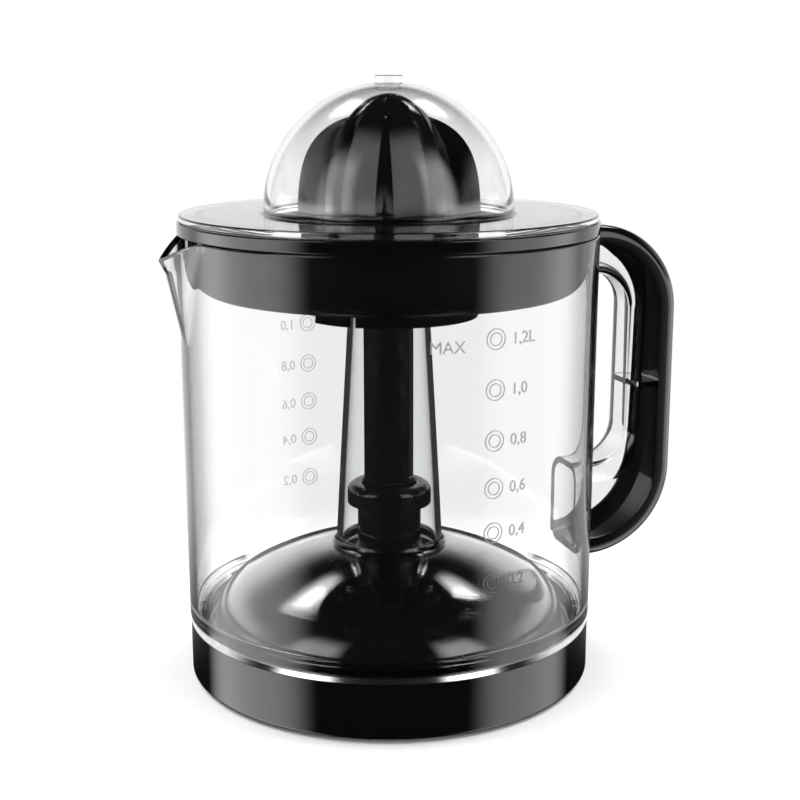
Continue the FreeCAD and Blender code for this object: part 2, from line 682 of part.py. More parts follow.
def cone_section(height):
    """Section of the reamer: four tall ribs that cross, and a leaf-shaped rib in each hollow."""
    eighth = cone_eighth(height)
    rib = eighth[-1][1]
    edges = []
    for quarter in range(4):
        middle = math.radians(D["cone_turn"].value) + quarter * math.pi / 2

        def at(turn, radius):
            return Vector(radius * math.cos(middle + turn), radius * math.sin(middle + turn), height)

        right = [at(-turn, radius) for turn, radius in reversed(eighth)]
        left = [at(turn, radius) for turn, radius in eighth]
        rib_edge, rib_foot, hollow, leaf_foot, crest = right
        next_edge = at(math.pi / 2 - eighth[-1][0], rib)
        edges += [Part.LineSegment(rib_edge, rib_foot), Part.Arc(rib_foot, hollow, leaf_foot),
                  Part.LineSegment(leaf_foot, crest), Part.LineSegment(crest, left[1]),
                  Part.Arc(left[1], left[2], left[3]), Part.LineSegment(left[3], left[4]),
                  Part.Arc(left[4], at(math.pi / 4, rib), next_edge)]
    return Part.Wire([edge.toShape() for edge in edges])


def reamer_cone():
    """Ribbed reamer, hollow underneath, with a boss that takes the shaft's tenon."""
    foot, apex = D["cone_foot"].value, D["cone_apex"].value
    levels = [0, 0.3, 0.55, 0.72, 0.84, 0.92, 0.97, 1]
    *rising, top = [cone_section(foot + (apex - foot) * level) for level in levels]
    tip = Part.makeLoft([rising[-1], top], True, True)
    body = Part.makeLoft(rising, True, False).fuse(tip)
    inside = cone_eighth(foot)[2][1] - D["cone_wall"].value
    shoulder = D["shaft_shoulder"].value
    boss_radius, boss_height = D["boss_radius"].value, (apex - shoulder) * 0.6
    hollow = Part.makeCylinder(inside, shoulder - foot, Vector(0, 0, foot))
    root_radius = boss_radius + D["cone_wall"].value
    upper = Part.makeCone(inside, root_radius, boss_height * 0.8, Vector(0, 0, shoulder))
    boss = Part.makeCylinder(boss_radius, boss_height, Vector(0, 0, shoulder))
    tenon = D["tenon_radius"].value + D["tenon_gap"].value
    depth = D["tenon_top"].value + D["tenon_end_gap"].value - shoulder
    bore = Part.makeCylinder(tenon, depth, Vector(0, 0, shoulder))
    shaped("reamer_cone", body.cut(hollow).cut(upper.cut(boss)).cut(bore).removeSplitter())


def dust_cover():
    """Clear cover: flat brim, hemispherical lid with a small flat nub, and a locating ring."""
    body = new_body("dust_cover")
    low, thick = D["brim_low"], D["brim_thick"]
    brim = low + thick
    lid, wall = D["lid_radius"], D["lid_wall"]
    spring = D["lid_top"] - lid
    inner = lid - wall
    locate = D["locating_radius"]
    nub = D["nub_radius"]
    nub_root = spring + root(lid * lid - nub * nub)
    revolve(body, [
        (D["brim_radius"], low),
        (D["brim_radius"], brim),
        (lid + D["lid_fillet"], brim),
        (lid, brim + D["lid_fillet"], D["lid_fillet"], -1),
        (nub, nub_root, lid, 1),
        (nub, D["nub_top"]),
        (ZERO, D["nub_top"]),
        (ZERO, spring + inner),
        (inner, spring, inner, -1),
        (inner, low),
        (locate - D["locating_wall"], low),
        (locate - D["locating_wall"], D["locating_low"]),
        (locate, D["locating_low"]),
        (locate, low),
    ])
    return body


def spindle():
    """Steel spindle with a hexagon end that drives the shaft."""
    body = new_body("spindle")
    extrude(body, circles(new_sketch(body, "XY_Plane", D["spindle_foot"]), (0, 0, D["spindle_radius"])),
            D["spindle_round_top"] - D["spindle_foot"])
    extrude(body, hexagon(new_sketch(body, "XY_Plane", D["spindle_round_top"]), D["spindle_radius"]),
            D["spindle_top"] - D["spindle_round_top"])
    return body


def plunger():
    """Thrust piece under the spindle, with the arm that works the switch lever."""
    body = tube("plunger", ZERO, D["plunger_radius"], D["plunger_low"], D["plunger_top"])
    half = D["arm_width"] / 2
    arm = new_sketch(body, "XY_Plane", D["arm_low"])
    outline(arm, [(ZERO, -half), (D["arm_reach"], -half), (D["arm_reach"], half), (ZERO, half)])
    extrude(body, arm, D["arm_thick"])
    return body


def return_spring():
    """Compression spring that lifts the plunger, wound as one wire of quarter-turn arcs."""
    radius, wire = D["spring_radius"].value, D["spring_wire"].value
    clear = wire / 2 + D["fit_gap"].value
    low = (D["floor_low"] + D["floor_thick"]).value + clear
    high = D["plunger_low"].value - clear
    turns = int(D["spring_turns"].value)
    rise = (high - low) / turns

    def on_coil(turn):
        angle = 2 * math.pi * turn
        return Vector(radius * math.cos(angle), radius * math.sin(angle), low + rise * turn)

    arcs = [Part.Arc(on_coil(k / 4), on_coil(k / 4 + 0.125), on_coil(k / 4 + 0.25)).toShape()
            for k in range(4 * turns)]
    path = Part.Wire(arcs)
    start_direction = arcs[0].tangentAt(arcs[0].FirstParameter)
    section = Part.Wire(Part.makeCircle(wire / 2, on_coil(0), start_direction))
    print("return spring: gap between turns", round(rise - wire, 2), "mm")
    shaped("return_spring", path.makePipeShell([section], True, False))


def switch_lever():
    """Sprung lever of the microswitch, hinged at its far end and lifted towards the plunger arm."""
    half = D["lever_width"].value / 2
    thick = D["lever_thick"].value
    lever = Part.makeBox(2 * half, D["lever_length"].value, thick, Vector(-half, 0, 0))
    eye = Part.makeCylinder(D["lever_eye"].value, 2 * half, Vector(-half, 0, thick), Vector(1, 0, 0))
    pivot = Vector(D["switch_x"].value, -D["lever_pivot_y"].value, D["lever_pivot_z"].value)
    shaped("switch_lever", lever.fuse(eye).removeSplitter(),
           Placement(pivot, Rotation(Vector(1, 0, 0), D["lever_rise"].value)))


def block(label, x, y, low, length, width, height):
    """Box primitive bound to the sheet, with its corner at (x, y, low)."""
    box = doc.addObject("Part::Box", label)
    box.Label = label
    for name, size in (("Length", length), ("Width", width), ("Height", height)):
        box.setExpression(name, size.formula)
    for axis, size in zip("xyz", (x, y, low)):
        box.setExpression(f".Placement.Base.{axis}", size.formula)
    PARTS.append(box)
    return box


# Gears

def tooth_outline(teeth, module, phase, backlash):
    """Involute tooth profile all round a gear, straight between root, pitch and tip."""
    pressure = math.radians(20)
    pitch = module * teeth / 2
    base = pitch * math.cos(pressure)
    root_radius, tip = pitch - 1.25 * module, pitch + module
    half_pitch = (math.pi * module - backlash) / 4 / pitch

    def half_angle(radius):
        flank = math.acos(min(1.0, base / radius))
        return half_pitch + (math.tan(pressure) - pressure) - (math.tan(flank) - flank)

    radii = [root_radius, max(base, root_radius) + 0.02, pitch, (pitch + tip) / 2, tip]
    flank = [(radius, half_angle(max(radius, base))) for radius in radii]
    points = []
    for tooth in range(teeth):
        centre = phase + 2 * math.pi * tooth / teeth
        for radius, half in flank:
            points.append((radius, centre - half))
        for radius, half in reversed(flank):
            points.append((radius, centre + half))
    corners = [Vector(r * math.cos(a), r * math.sin(a), 0) for r, a in points]
    return Part.Wire(Part.makePolygon(corners + corners[:1]))


def gear(teeth, module, phase, low, high):
    wire = tooth_outline(int(teeth.value), module.value, phase, D["backlash"].value)
    disc = Part.Face(wire).extrude(Vector(0, 0, high.value - low.value))
    disc.translate(Vector(0, 0, low.value))
    return disc


def rod(radius, low, high):
    return Part.makeCylinder(radius.value, high.value - low.value, Vector(0, 0, low.value))


def gear_train():
    """Two-stage train: rotor pinion to idler, idler pinion to the output gear on the spindle."""
    first = D["fine_module"].value * (D["pinion_teeth"].value + D["idler_teeth"].value) / 2
    second = D["coarse_module"].value * (D["pinion_teeth"].value + D["output_teeth"].value) / 2
    motor = D["motor_x"].value
    idler_x = (second ** 2 - first ** 2 + motor ** 2) / (2 * motor)
    idler = Vector(idler_x, math.sqrt(second ** 2 - idler_x ** 2), 0)
    to_idler = math.atan2(idler.y, idler.x)
    to_rotor = math.atan2(-idler.y, motor - idler.x)
    half_tooth = math.pi / D["pinion_teeth"].value

    output = gear(D["output_teeth"], D["coarse_module"], to_idler, D["stage_two_low"], D["stage_two_high"])
    output = output.fuse(rod(D["output_hub"], D["output_hub_low"], D["output_hub_top"]))
    shaped("output_gear", output.cut(rod(D["output_bore"], D["can_low"], D["neck_top"])).removeSplitter())

    wheel = gear(D["idler_teeth"], D["fine_module"], to_rotor, D["stage_one_low"], D["stage_one_high"])
    pinion = gear(D["pinion_teeth"], D["coarse_module"], to_idler + math.pi - half_tooth,
                  D["stage_one_high"], D["stage_two_high"])
    compound = wheel.fuse(pinion).cut(rod(D["axle_radius"] + D["fit_gap"], D["can_low"], D["neck_top"]))
    compound.translate(idler)
    shaped("idler_gear", compound.removeSplitter())

    drive_pinion = gear(D["pinion_teeth"], D["fine_module"], to_rotor + math.pi - half_tooth,
                        D["stage_one_low"] - D["pinion_overlap"], D["pinion_top"])
    drive_pinion = drive_pinion.fuse(rod(D["rotor_shaft"], D["rotor_shaft_low"], D["stage_one_low"]))
    drive_pinion.translate(Vector(motor, 0, 0))
    shaped("rotor_pinion", drive_pinion.removeSplitter())

    plate_top = D["plate_low"] + D["plate_thick"]
    tube("idler_axle", ZERO, D["axle_radius"], plate_top, D["axle_top"], as_size(idler.x), as_size(idler.y))


def claw_poles(label, low, tooth_low, tooth_high, turn):
    """Steel pole plate with bent claws between the coil and the rotor."""
    claw = D["claw_thick"]
    inner = D["rotor_radius"] + D["air_gap"]
    plate = rod(D["bobbin_outer"], low, low + claw).cut(rod(inner, low - claw, low + claw * 2))
    count = int(D["claw_count"].value)
    half = inner.value * math.sin(math.radians(90 / count) * 0.8)
    for k in range(count):
        angle = 2 * math.pi * k / count + turn
        finger = Part.makeBox(claw.value, 2 * half, tooth_high.value - tooth_low.value,
                              Vector(inner.value, -half, tooth_low.value))
        finger.rotate(Vector(0, 0, 0), Vector(0, 0, 1), math.degrees(angle))
        plate = plate.fuse(finger)
    plate.translate(Vector(D["motor_x"].value, 0, 0))
    shaped(label, plate.removeSplitter())


def motor():
    """Flat synchronous motor: can, claw poles, ring coil on a bobbin and magnet rotor."""
    x = D["motor_x"]
    wall = D["can_wall"]
    can = new_body("motor_can")
    low, top = D["can_low"], D["can_top"]
    extrude(can, circles(new_sketch(can, "XY_Plane", low), (x, 0, D["can_radius"])), top - low)
    cut(can, circles(new_sketch(can, "XY_Plane", low + wall), (x, 0, D["can_radius"] - wall)), top - low,
        reverse=True)
    cut(can, circles(new_sketch(can, "XY_Plane", low), (x, 0, D["rotor_shaft"] + D["fit_gap"])), wall,
        reverse=True)
    coil_low = low + wall + D["claw_thick"] * 3
    coil_high = coil_low + D["bobbin_height"]
    tube("coil", D["bobbin_inner"], D["bobbin_outer"], coil_low, coil_high, x)
    thick, short = D["claw_thick"], D["claw_short"]
    claw_poles("lower_poles", coil_low - thick, coil_low - thick, coil_high - short, 0)
    claw_poles("upper_poles", coil_high, coil_low + short, coil_high + thick, math.pi / D["claw_count"].value)
    rotor_low = coil_low - D["claw_thick"] / 2
    rotor_high = rotor_low + D["rotor_height"]
    tube("rotor_magnet", D["rotor_shaft"] + D["press_gap"], D["rotor_radius"], rotor_low, rotor_high, x)


def gear_plate():
    """Steel plate that carries the motor and gears, screwed to three posts in the housing."""
    body = new_body("gear_plate")
    low, thick = D["plate_low"], D["plate_thick"]
    hole = D["screw_shank"] + D["fit_gap"]
    extrude(body, circles(new_sketch(body, "XY_Plane", low), (D["plate_x"], 0, D["plate_radius"]),
                          (0, 0, D["plate_hole"]), (D["motor_x"], 0, D["rotor_shaft"] + 1),
                          (D["post_x"], D["post_y"], hole), (D["post_x"], -D["post_y"], hole),
                          (D["rear_post_x"], 0, hole)), thick)
    return body


def screw(x, y, head_low, head_high, end):
    """Round-headed screw with its head below and its shank upwards."""
    head = Part.makeCylinder(D["screw_head"].value, head_high - head_low, Vector(x, y, head_low))
    return head.fuse(Part.makeCylinder(D["screw_shank"].value, end - head_high, Vector(x, y, head_high)))


def fasteners():
    """Screws of the base plate and of the gear plate."""
    floor = D["floor_low"].value
    shaped("base_screws", Part.makeCompound([
        screw(x.value, y.value, D["screw_head_low"].value, floor, D["screw_end"].value)
        for x, y in screw_spots()]))
    low = D["plate_low"].value
    posts = [(D["post_x"].value, D["post_y"].value), (D["post_x"].value, -D["post_y"].value),
             (D["rear_post_x"].value, 0)]
    shaped("gear_plate_screws", Part.makeCompound([
        screw(x, y, low - D["plate_thick"].value, low, low + D["plate_screw"].value) for x, y in posts]))


def base_plate():
    """Closing plate of the base with the guide for the plunger."""
    body = new_body("base_plate")
    low, thick = D["floor_low"], D["floor_thick"]
    hole = D["screw_shank"] + D["fit_gap"]
    holes = [(x, y, hole) for x, y in screw_spots()]
    extrude(body, circles(new_sketch(body, "XY_Plane", low), (0, 0, D["floor_radius"]), *holes), thick)
    guide = new_sketch(body, "XY_Plane", low + thick)
    circles(guide, (0, 0, D["guide_radius"]), (0, 0, D["guide_bore"]))
    extrude(body, guide, D["guide_top"] - low - thick)
    return body


def feet():
    """Four rubber feet under the base plate."""
    for number in range(4):
        angle = math.radians(D["pad_angle"].value + 90 * number)
        x = D["pad_ring"] * math.cos(angle)
        y = D["pad_ring"] * math.sin(angle)
        tube(f"foot_{number + 1}", ZERO, D["pad_radius"], ZERO, D["floor_low"], x, y)


def cord_gland():
    """Flanged bush in the rear wall where the mains lead would enter."""
    body = new_body("cord_gland")
    inside = D["base_radius"] - D["base_wall"] - D["gland_flange_thick"] - D["gland_gap"]
    height = D["gland_height"]
    bore = (0, height, D["gland_bore"])
    flange = circles(new_sketch(body, "XZ_Plane", -inside), (0, height, D["gland_flange"]), bore)
    extrude(body, flange, D["gland_flange_thick"], reverse=True)
    sleeve = circles(new_sketch(body, "XZ_Plane", -inside), (0, height, D["gland_radius"]), bore)
    extrude(body, sleeve, D["base_wall"] + D["gland_flange_thick"], reverse=True)
    return body


def build():
    base_housing()
    splash_collar()
    tube("spindle_bush", D["bush_bore"], D["neck_bore"] - D["fit_gap"], D["bush_low"], D["neck_top"])
    jug()
    handle_cover()
    strainer()
    pulp_ring()
    drive_shaft()
    retaining_clip()
    reamer_cone()
    dust_cover()
    spindle()
    plunger()
    return_spring()
    block("microswitch", D["switch_x"] - D["switch_width"] / 2, -D["switch_far"], D["switch_low"],
          D["switch_width"], D["switch_length"], D["switch_high"] - D["switch_low"])
    switch_lever()
    gear_train()
    motor()
    gear_plate()
    fasteners()
    base_plate()
    feet()
    cord_gland()
    block("terminal_block", D["terminal_x"] - D["terminal_length"] / 2, D["terminal_y"],
          D["floor_low"] + D["floor_thick"], D["terminal_length"], D["terminal_width"], D["terminal_height"])


def check_and_write():
    doc.recompute()
    for item in doc.Objects:
        if {"Invalid", "Error"} & set(item.State):
            raise RuntimeError(f"{item.Label}: {item.State}")
    for item in PARTS:
        if item.Shape.isNull() or not item.Shape.isValid() or item.Shape.Volume <= 0:
            raise RuntimeError(f"{item.Label}: shape is not a valid solid")
    os.makedirs("parts", exist_ok=True)
    for item in PARTS:
        item.Shape.exportStep(f"parts/{item.Label}.step")
    print(len(PARTS), "pieces written")


build()
check_and_write()
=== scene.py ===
import math
from collections import namedtuple

import bmesh
import bpy
from mathutils import Matrix, Vector


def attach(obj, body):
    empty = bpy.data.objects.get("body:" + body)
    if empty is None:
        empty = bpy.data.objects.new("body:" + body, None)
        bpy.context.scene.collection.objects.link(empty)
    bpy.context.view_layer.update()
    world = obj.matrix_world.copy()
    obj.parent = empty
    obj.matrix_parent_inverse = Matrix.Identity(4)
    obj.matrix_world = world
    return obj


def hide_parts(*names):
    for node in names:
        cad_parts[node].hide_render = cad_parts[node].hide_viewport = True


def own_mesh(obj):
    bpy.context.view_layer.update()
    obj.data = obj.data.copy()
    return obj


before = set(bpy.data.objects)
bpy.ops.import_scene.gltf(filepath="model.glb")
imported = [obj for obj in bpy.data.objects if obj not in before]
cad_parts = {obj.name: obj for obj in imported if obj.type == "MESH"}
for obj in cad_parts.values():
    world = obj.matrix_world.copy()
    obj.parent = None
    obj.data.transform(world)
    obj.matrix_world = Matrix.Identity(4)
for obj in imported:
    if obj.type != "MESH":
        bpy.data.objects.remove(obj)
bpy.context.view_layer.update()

# Rubber feet and gland
# Four soft moulded discs under the base plate carry the press and keep it from sliding, and a soft
# sleeve lines the hole in the rear wall. Their skin is matt, with a fine moulded grain.
MM = 0.001
RUBBER_BLACK = (0.022, 0.022, 0.023, 1)
ROUGHNESS_SPREAD, TONE_SPREAD = 0.25, 0.15


def moulded(name, colour, roughness, grain, relief, metallic=0.0):
    """Opaque finish whose roughness, tone and relief follow one fine noise; grain is in metres."""
    material = bpy.data.materials.new(name)
    material.use_nodes = True
    nodes, links = material.node_tree.nodes, material.node_tree.links
    shader = nodes["Principled BSDF"]
    shader.inputs["Metallic"].default_value = metallic
    place = nodes.new("ShaderNodeTexCoord")
    speckle = nodes.new("ShaderNodeTexNoise")
    speckle.inputs["Scale"].default_value = 1 / grain
    speckle.inputs["Detail"].default_value = 4
    links.new(place.outputs["Object"], speckle.inputs["Vector"])
    spread = nodes.new("ShaderNodeMapRange")
    spread.inputs["To Min"].default_value = roughness * (1 - ROUGHNESS_SPREAD)
    spread.inputs["To Max"].default_value = roughness * (1 + ROUGHNESS_SPREAD)
    links.new(speckle.outputs["Fac"], spread.inputs["Value"])
    links.new(spread.outputs["Result"], shader.inputs["Roughness"])
    tone = nodes.new("ShaderNodeMix")
    tone.data_type = "RGBA"
    tone.inputs["A"].default_value = [c * (1 - TONE_SPREAD) for c in colour[:3]] + [1]
    tone.inputs["B"].default_value = [min(1, c * (1 + TONE_SPREAD)) for c in colour[:3]] + [1]
    links.new(speckle.outputs["Fac"], tone.inputs["Factor"])
    links.new(tone.outputs["Result"], shader.inputs["Base Color"])
    bump = nodes.new("ShaderNodeBump")
    bump.inputs["Strength"].default_value = 0.5
    bump.inputs["Distance"].default_value = relief
    links.new(speckle.outputs["Fac"], bump.inputs["Height"])
    links.new(bump.outputs["Normal"], shader.inputs["Normal"])
    return material


def dress(material, *names):
    """Give carried-over solids their finish."""
    for name in names:
        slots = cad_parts[name].data.materials
        slots.clear()
        slots.append(material)


rubber = moulded("soft_rubber", RUBBER_BLACK, 0.62, 0.9 * MM, 0.05 * MM)
dress(rubber, "foot_1", "foot_2", "foot_3", "foot_4", "cord_gland")

# Base plate, switch and plunger
# Matt black mouldings: the plate that closes the base from below, held by screws, and inside it the
# plunger under the spindle, the case of the microswitch and the terminal block.
SATIN_BLACK = (0.018, 0.018, 0.019, 1)
satin_black = moulded("satin_black_moulding", SATIN_BLACK, 0.42, 0.6 * MM, 0.03 * MM)
dress(satin_black, "base_plate", "plunger", "microswitch", "terminal_block")

# Motor and gears
# Out of sight under the dome: plated steel plates, shafts and screws, nylon gears, a ferrite rotor,
# a copper coil and a bronze bush. The clip on the drive shaft is of the same nylon as the gears.
STEEL_GREY, NYLON_CREAM = (0.58, 0.58, 0.6, 1), (0.78, 0.76, 0.7, 1)
BRONZE_BROWN, COPPER_RED = (0.52, 0.36, 0.16, 1), (0.55, 0.2, 0.08, 1)
FERRITE_GREY = (0.07, 0.07, 0.075, 1)
plated_steel = moulded("plated_steel", STEEL_GREY, 0.28, 0.4 * MM, 0.006 * MM, metallic=1.0)
nylon = moulded("natural_nylon", NYLON_CREAM, 0.45, 1.2 * MM, 0.02 * MM)
bronze = moulded("sintered_bronze", BRONZE_BROWN, 0.4, 0.3 * MM, 0.02 * MM, metallic=1.0)
copper = moulded("enamelled_copper", COPPER_RED, 0.3, 0.5 * MM, 0.04 * MM, metallic=0.8)
ferrite = moulded("ferrite", FERRITE_GREY, 0.5, 0.4 * MM, 0.02 * MM)
dress(plated_steel, "spindle", "gear_plate", "idler_axle", "base_screws", "gear_plate_screws",
      "lower_poles", "upper_poles", "motor_can", "switch_lever", "rotor_pinion")
dress(nylon, "output_gear", "idler_gear", "retaining_clip")
dress(bronze, "spindle_bush")
dress(copper, "coil")
dress(ferrite, "rotor_magnet")

# Base housing
# One gloss black moulding: a straight ring with a polished bevel, a recess for the jug's foot,
# the dome over the motor and the neck that carries the splash collar.
GLOSS_BLACK = (0.0022, 0.0022, 0.0024, 1)
BASE_RADIUS = 69.0
BASE_FOOT = 1.2
SKIRT_INSIDE, HOUSING_WALL = 66.8, 2.2
RIM_LOW, RIM_TOP, RIM_BEVEL = 19.4, 21.3, 1.0
RIM_INSIDE = 66.6
RECESS_FLOOR = 13.8
JUG_WALL, JUG_PLAY = 2.3, 0.6
NECK_RADIUS, NECK_TOP, NECK_BORE, NECK_FLARE = 10.9, 58.0, 7.0, 2.0
DOME_FOOT, DOME_SPRING = 60.5, 17.0
SHOULDER, CROWN = 18.0, 121.0
SHOULDER_TURN = math.radians(62)
GLAND_RADIUS, GLAND_HEIGHT, GLAND_PLAY = 3.2, 7.5, 0.05
GLAND_CUT_START, GLAND_CUT_END = RIM_INSIDE - 3.0, BASE_RADIUS + 1.0
TURN_STEPS = 192
STRAIGHT_ENOUGH = math.radians(176)
FILLET_SHARE = 0.49
ON_AXIS = 1e-6


def rounded(corners, bend_step=math.radians(9)):
    """Closed profile of (radius, height, fillet) corners in millimetres, with round corners."""
    points = []
    for index, (x, z, fillet) in enumerate(corners):
        here = Vector((x, z))
        before = Vector(corners[index - 1][:2]) - here
        after = Vector(corners[(index + 1) % len(corners)][:2]) - here
        angle = before.angle(after, math.pi)
        if fillet <= 0 or angle > STRAIGHT_ENOUGH:
            points.append((x, z))
            continue
        room = min(before.length, after.length) * FILLET_SHARE
        reach = min(fillet / math.tan(angle / 2), room)
        radius = reach * math.tan(angle / 2)
        start, end = here + before.normalized() * reach, here + after.normalized() * reach
        bisector = (before.normalized() + after.normalized()).normalized()
        middle = here + bisector * (radius / math.sin(angle / 2))
        steps = max(2, math.ceil((math.pi - angle) / bend_step))
        first, last = start - middle, end - middle
        swing = first.angle_signed(last)
        for step in range(steps + 1):
            turn = -swing * step / steps
            points.append((middle.x + first.x * math.cos(turn) - first.y * math.sin(turn),
                           middle.y + first.x * math.sin(turn) + first.y * math.cos(turn)))
    return points


def outward(work):
    """Mesh of the worked faces, all turned to face outwards."""
    mesh = bpy.data.meshes.new("outward")
    bmesh.ops.recalc_face_normals(work, faces=work.faces)
    work.to_mesh(mesh)
    work.free()
    return mesh


def turned(points, steps=TURN_STEPS):
    """Mesh of a closed profile turned about Z; profile points are millimetres, the mesh is metres."""
    work = bmesh.new()
    rings = []
    turns = [2 * math.pi * k / steps for k in range(steps)]
    for radius, height in points:
        if radius < ON_AXIS:
            rings.append([work.verts.new((0, 0, height * MM))] * steps)
            continue
        rings.append([work.verts.new((radius * MM * math.cos(t), radius * MM * math.sin(t), height * MM))
                      for t in turns])
    for index, ring in enumerate(rings):
        following = rings[(index + 1) % len(rings)]
        for k in range(steps):
            corners = [ring[k], ring[(k + 1) % steps], following[(k + 1) % steps], following[k]]
            loop = [v for i, v in enumerate(corners) if v not in corners[:i]]
            if len(loop) >= 3:
                work.faces.new(loop)
    return outward(work)


def placed(name, data):
    """New object in the scene that holds the data."""
    made = bpy.data.objects.new(name, data)
    bpy.context.scene.collection.objects.link(made)
    return made


def applied(holder):
    """Mesh of an object with its modifiers applied."""
    return bpy.data.meshes.new_from_object(holder.evaluated_get(bpy.context.evaluated_depsgraph_get()))


def piece(name, mesh, material, body, replaces=(), crease=35):
    """Finished piece: its finish, the body it rides on, and smooth shading that keeps flats flat."""
    mesh.materials.clear()
    mesh.materials.append(material)
    mesh.shade_smooth()
    mesh.set_sharp_from_angle(angle=math.radians(crease))
    made = placed(name, mesh)
    flats = made.modifiers.new("flats", "WEIGHTED_NORMAL")
    flats.keep_sharp = True
    shaded = applied(made)
    made.modifiers.remove(flats)
    made.data = shaded
    shaded.name = name
    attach(made, body)
    if replaces:
        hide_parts(*replaces)
    return made


def dome_line(inset, stop, steps=14):
    """Dome profile from its foot up to radius stop, drawn inset from the jug's wetted face."""
    shoulder_x = DOME_FOOT - SHOULDER
    crown_x = shoulder_x - (CROWN - SHOULDER) * math.cos(SHOULDER_TURN)
    crown_z = DOME_SPRING - (CROWN - SHOULDER) * math.sin(SHOULDER_TURN)
    shoulder, crown = SHOULDER - inset, CROWN - inset
    line = [(shoulder_x + shoulder * math.cos(SHOULDER_TURN * k / steps),
             DOME_SPRING + shoulder * math.sin(SHOULDER_TURN * k / steps)) for k in range(steps)]
    end_turn = math.acos((stop - crown_x) / crown)
    for k in range(steps + 1):
        turn = SHOULDER_TURN + (end_turn - SHOULDER_TURN) * k / steps
        line.append((crown_x + crown * math.cos(turn), crown_z + crown * math.sin(turn)))
    return line


def cut_away(mesh, cutter):
    """Mesh with a closed cutter's shape taken out of it."""
    whole, tool = placed("whole", mesh), placed("tool", cutter)
    opened = whole.modifiers.new("opened", "BOOLEAN")
    opened.operation = "DIFFERENCE"
    opened.object = tool
    made = applied(whole)
    for holder in (whole, tool):
        bpy.data.objects.remove(holder)
    return made


def round_bar(radius, start, end, height):
    """Closed round bar along Y at a height, to cut the gland's hole with."""
    work = bmesh.new()
    middle = Vector((0, (start + end) / 2, height)) * MM
    place = Matrix.Translation(middle) @ Matrix.Rotation(math.pi / 2, 4, "X")
    bmesh.ops.create_cone(work, cap_ends=True, segments=64, radius1=radius * MM, radius2=radius * MM,
                          depth=(end - start) * MM, matrix=place)
    return outward(work)


gloss_black = moulded("gloss_black_moulding", GLOSS_BLACK, 0.06, 14 * MM, 0.012 * MM)
base_inset = JUG_WALL + JUG_PLAY
ceiling_inset = base_inset + HOUSING_WALL
recess_ceiling = RECESS_FLOOR - HOUSING_WALL
outer_dome = [(x, z, 0) for x, z in dome_line(base_inset, NECK_RADIUS + NECK_FLARE)]
inner_dome = [(x, z, 0) for x, z in reversed(dome_line(ceiling_inset, NECK_BORE))]
housing_profile = rounded([
    (SKIRT_INSIDE, BASE_FOOT, 0.2), (BASE_RADIUS, BASE_FOOT, 1.4), (BASE_RADIUS, RIM_LOW, 0.5),
    (BASE_RADIUS - RIM_BEVEL, RIM_TOP, 0.4), (RIM_INSIDE, RIM_TOP, 0.4), (RIM_INSIDE, RECESS_FLOOR, 0.4),
    (DOME_FOOT - base_inset, RECESS_FLOOR, 0.4), *outer_dome,
    (NECK_RADIUS, outer_dome[-1][1] + NECK_FLARE, 0), (NECK_RADIUS, NECK_TOP, 0.3),
    (NECK_BORE, NECK_TOP, 0.2), *inner_dome,
    (DOME_FOOT - ceiling_inset, recess_ceiling, 0.3), (SKIRT_INSIDE, recess_ceiling, 0.3),
])
gland_hole = round_bar(GLAND_RADIUS + GLAND_PLAY, GLAND_CUT_START, GLAND_CUT_END, GLAND_HEIGHT)
base_mesh = cut_away(turned(housing_profile), gland_hole)
piece("base_shell", base_mesh, gloss_black, "base", ["base_housing"])


def refined(node):
    """Merged copy of a carried-over solid, so that it can be shaded smooth."""
    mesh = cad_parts[node].data.copy()
    work = bmesh.new()
    work.from_mesh(mesh)
    bmesh.ops.remove_doubles(work, verts=work.verts, dist=1e-6)
    work.to_mesh(mesh)
    work.free()
    return mesh


spring_mesh = refined("return_spring")
spring = piece("press_spring", spring_mesh, plated_steel, "base", ["return_spring"])
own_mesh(spring)

# Bevel highlight
# The bevel round the top of the base carries a painted highlight: a thin bright metal sheet lies on
# the gloss moulding and follows its slope, so that the bevel shows as a bright line.
BEVEL_SKIN = 0.12
BEVEL_HIGHLIGHT_SILVER = (0.8, 0.8, 0.81, 1)
# Painted highlight: a bright silver metal sheet laid over the gloss black bevel.
painted_bevel_highlight = moulded("bevel_painted_highlight", BEVEL_HIGHLIGHT_SILVER, 0.12, 3 * MM, 0.004 * MM, metallic=1.0)
bevel_inside = BASE_RADIUS - RIM_BEVEL
bevel_profile = rounded([
    (BASE_RADIUS, RIM_LOW + 0.25, 0), (BASE_RADIUS + BEVEL_SKIN, RIM_LOW + 0.3, 0),
    (bevel_inside + BEVEL_SKIN, RIM_TOP - 0.05, 0), (bevel_inside, RIM_TOP - 0.1, 0),
])
piece("bevel_highlight_sheet", turned(bevel_profile), painted_bevel_highlight, "base")

# Splash collar
# A rounded gloss collar pressed on the neck. The shaft's foot turns in its bore, and juice that
# runs down the shaft drips off its lip.
COLLAR_RADIUS, COLLAR_TOP, COLLAR_BORE = 14.4, 65.4, 9.3
COLLAR_STEPS = 96
collar_profile = rounded([(COLLAR_BORE, NECK_TOP, 0.2), (COLLAR_RADIUS, NECK_TOP, 1.2),
                          (COLLAR_RADIUS, COLLAR_TOP, 2.8), (COLLAR_BORE, COLLAR_TOP, 1.0)])
piece("collar", turned(collar_profile, COLLAR_STEPS), gloss_black, "base", ["splash_collar"])

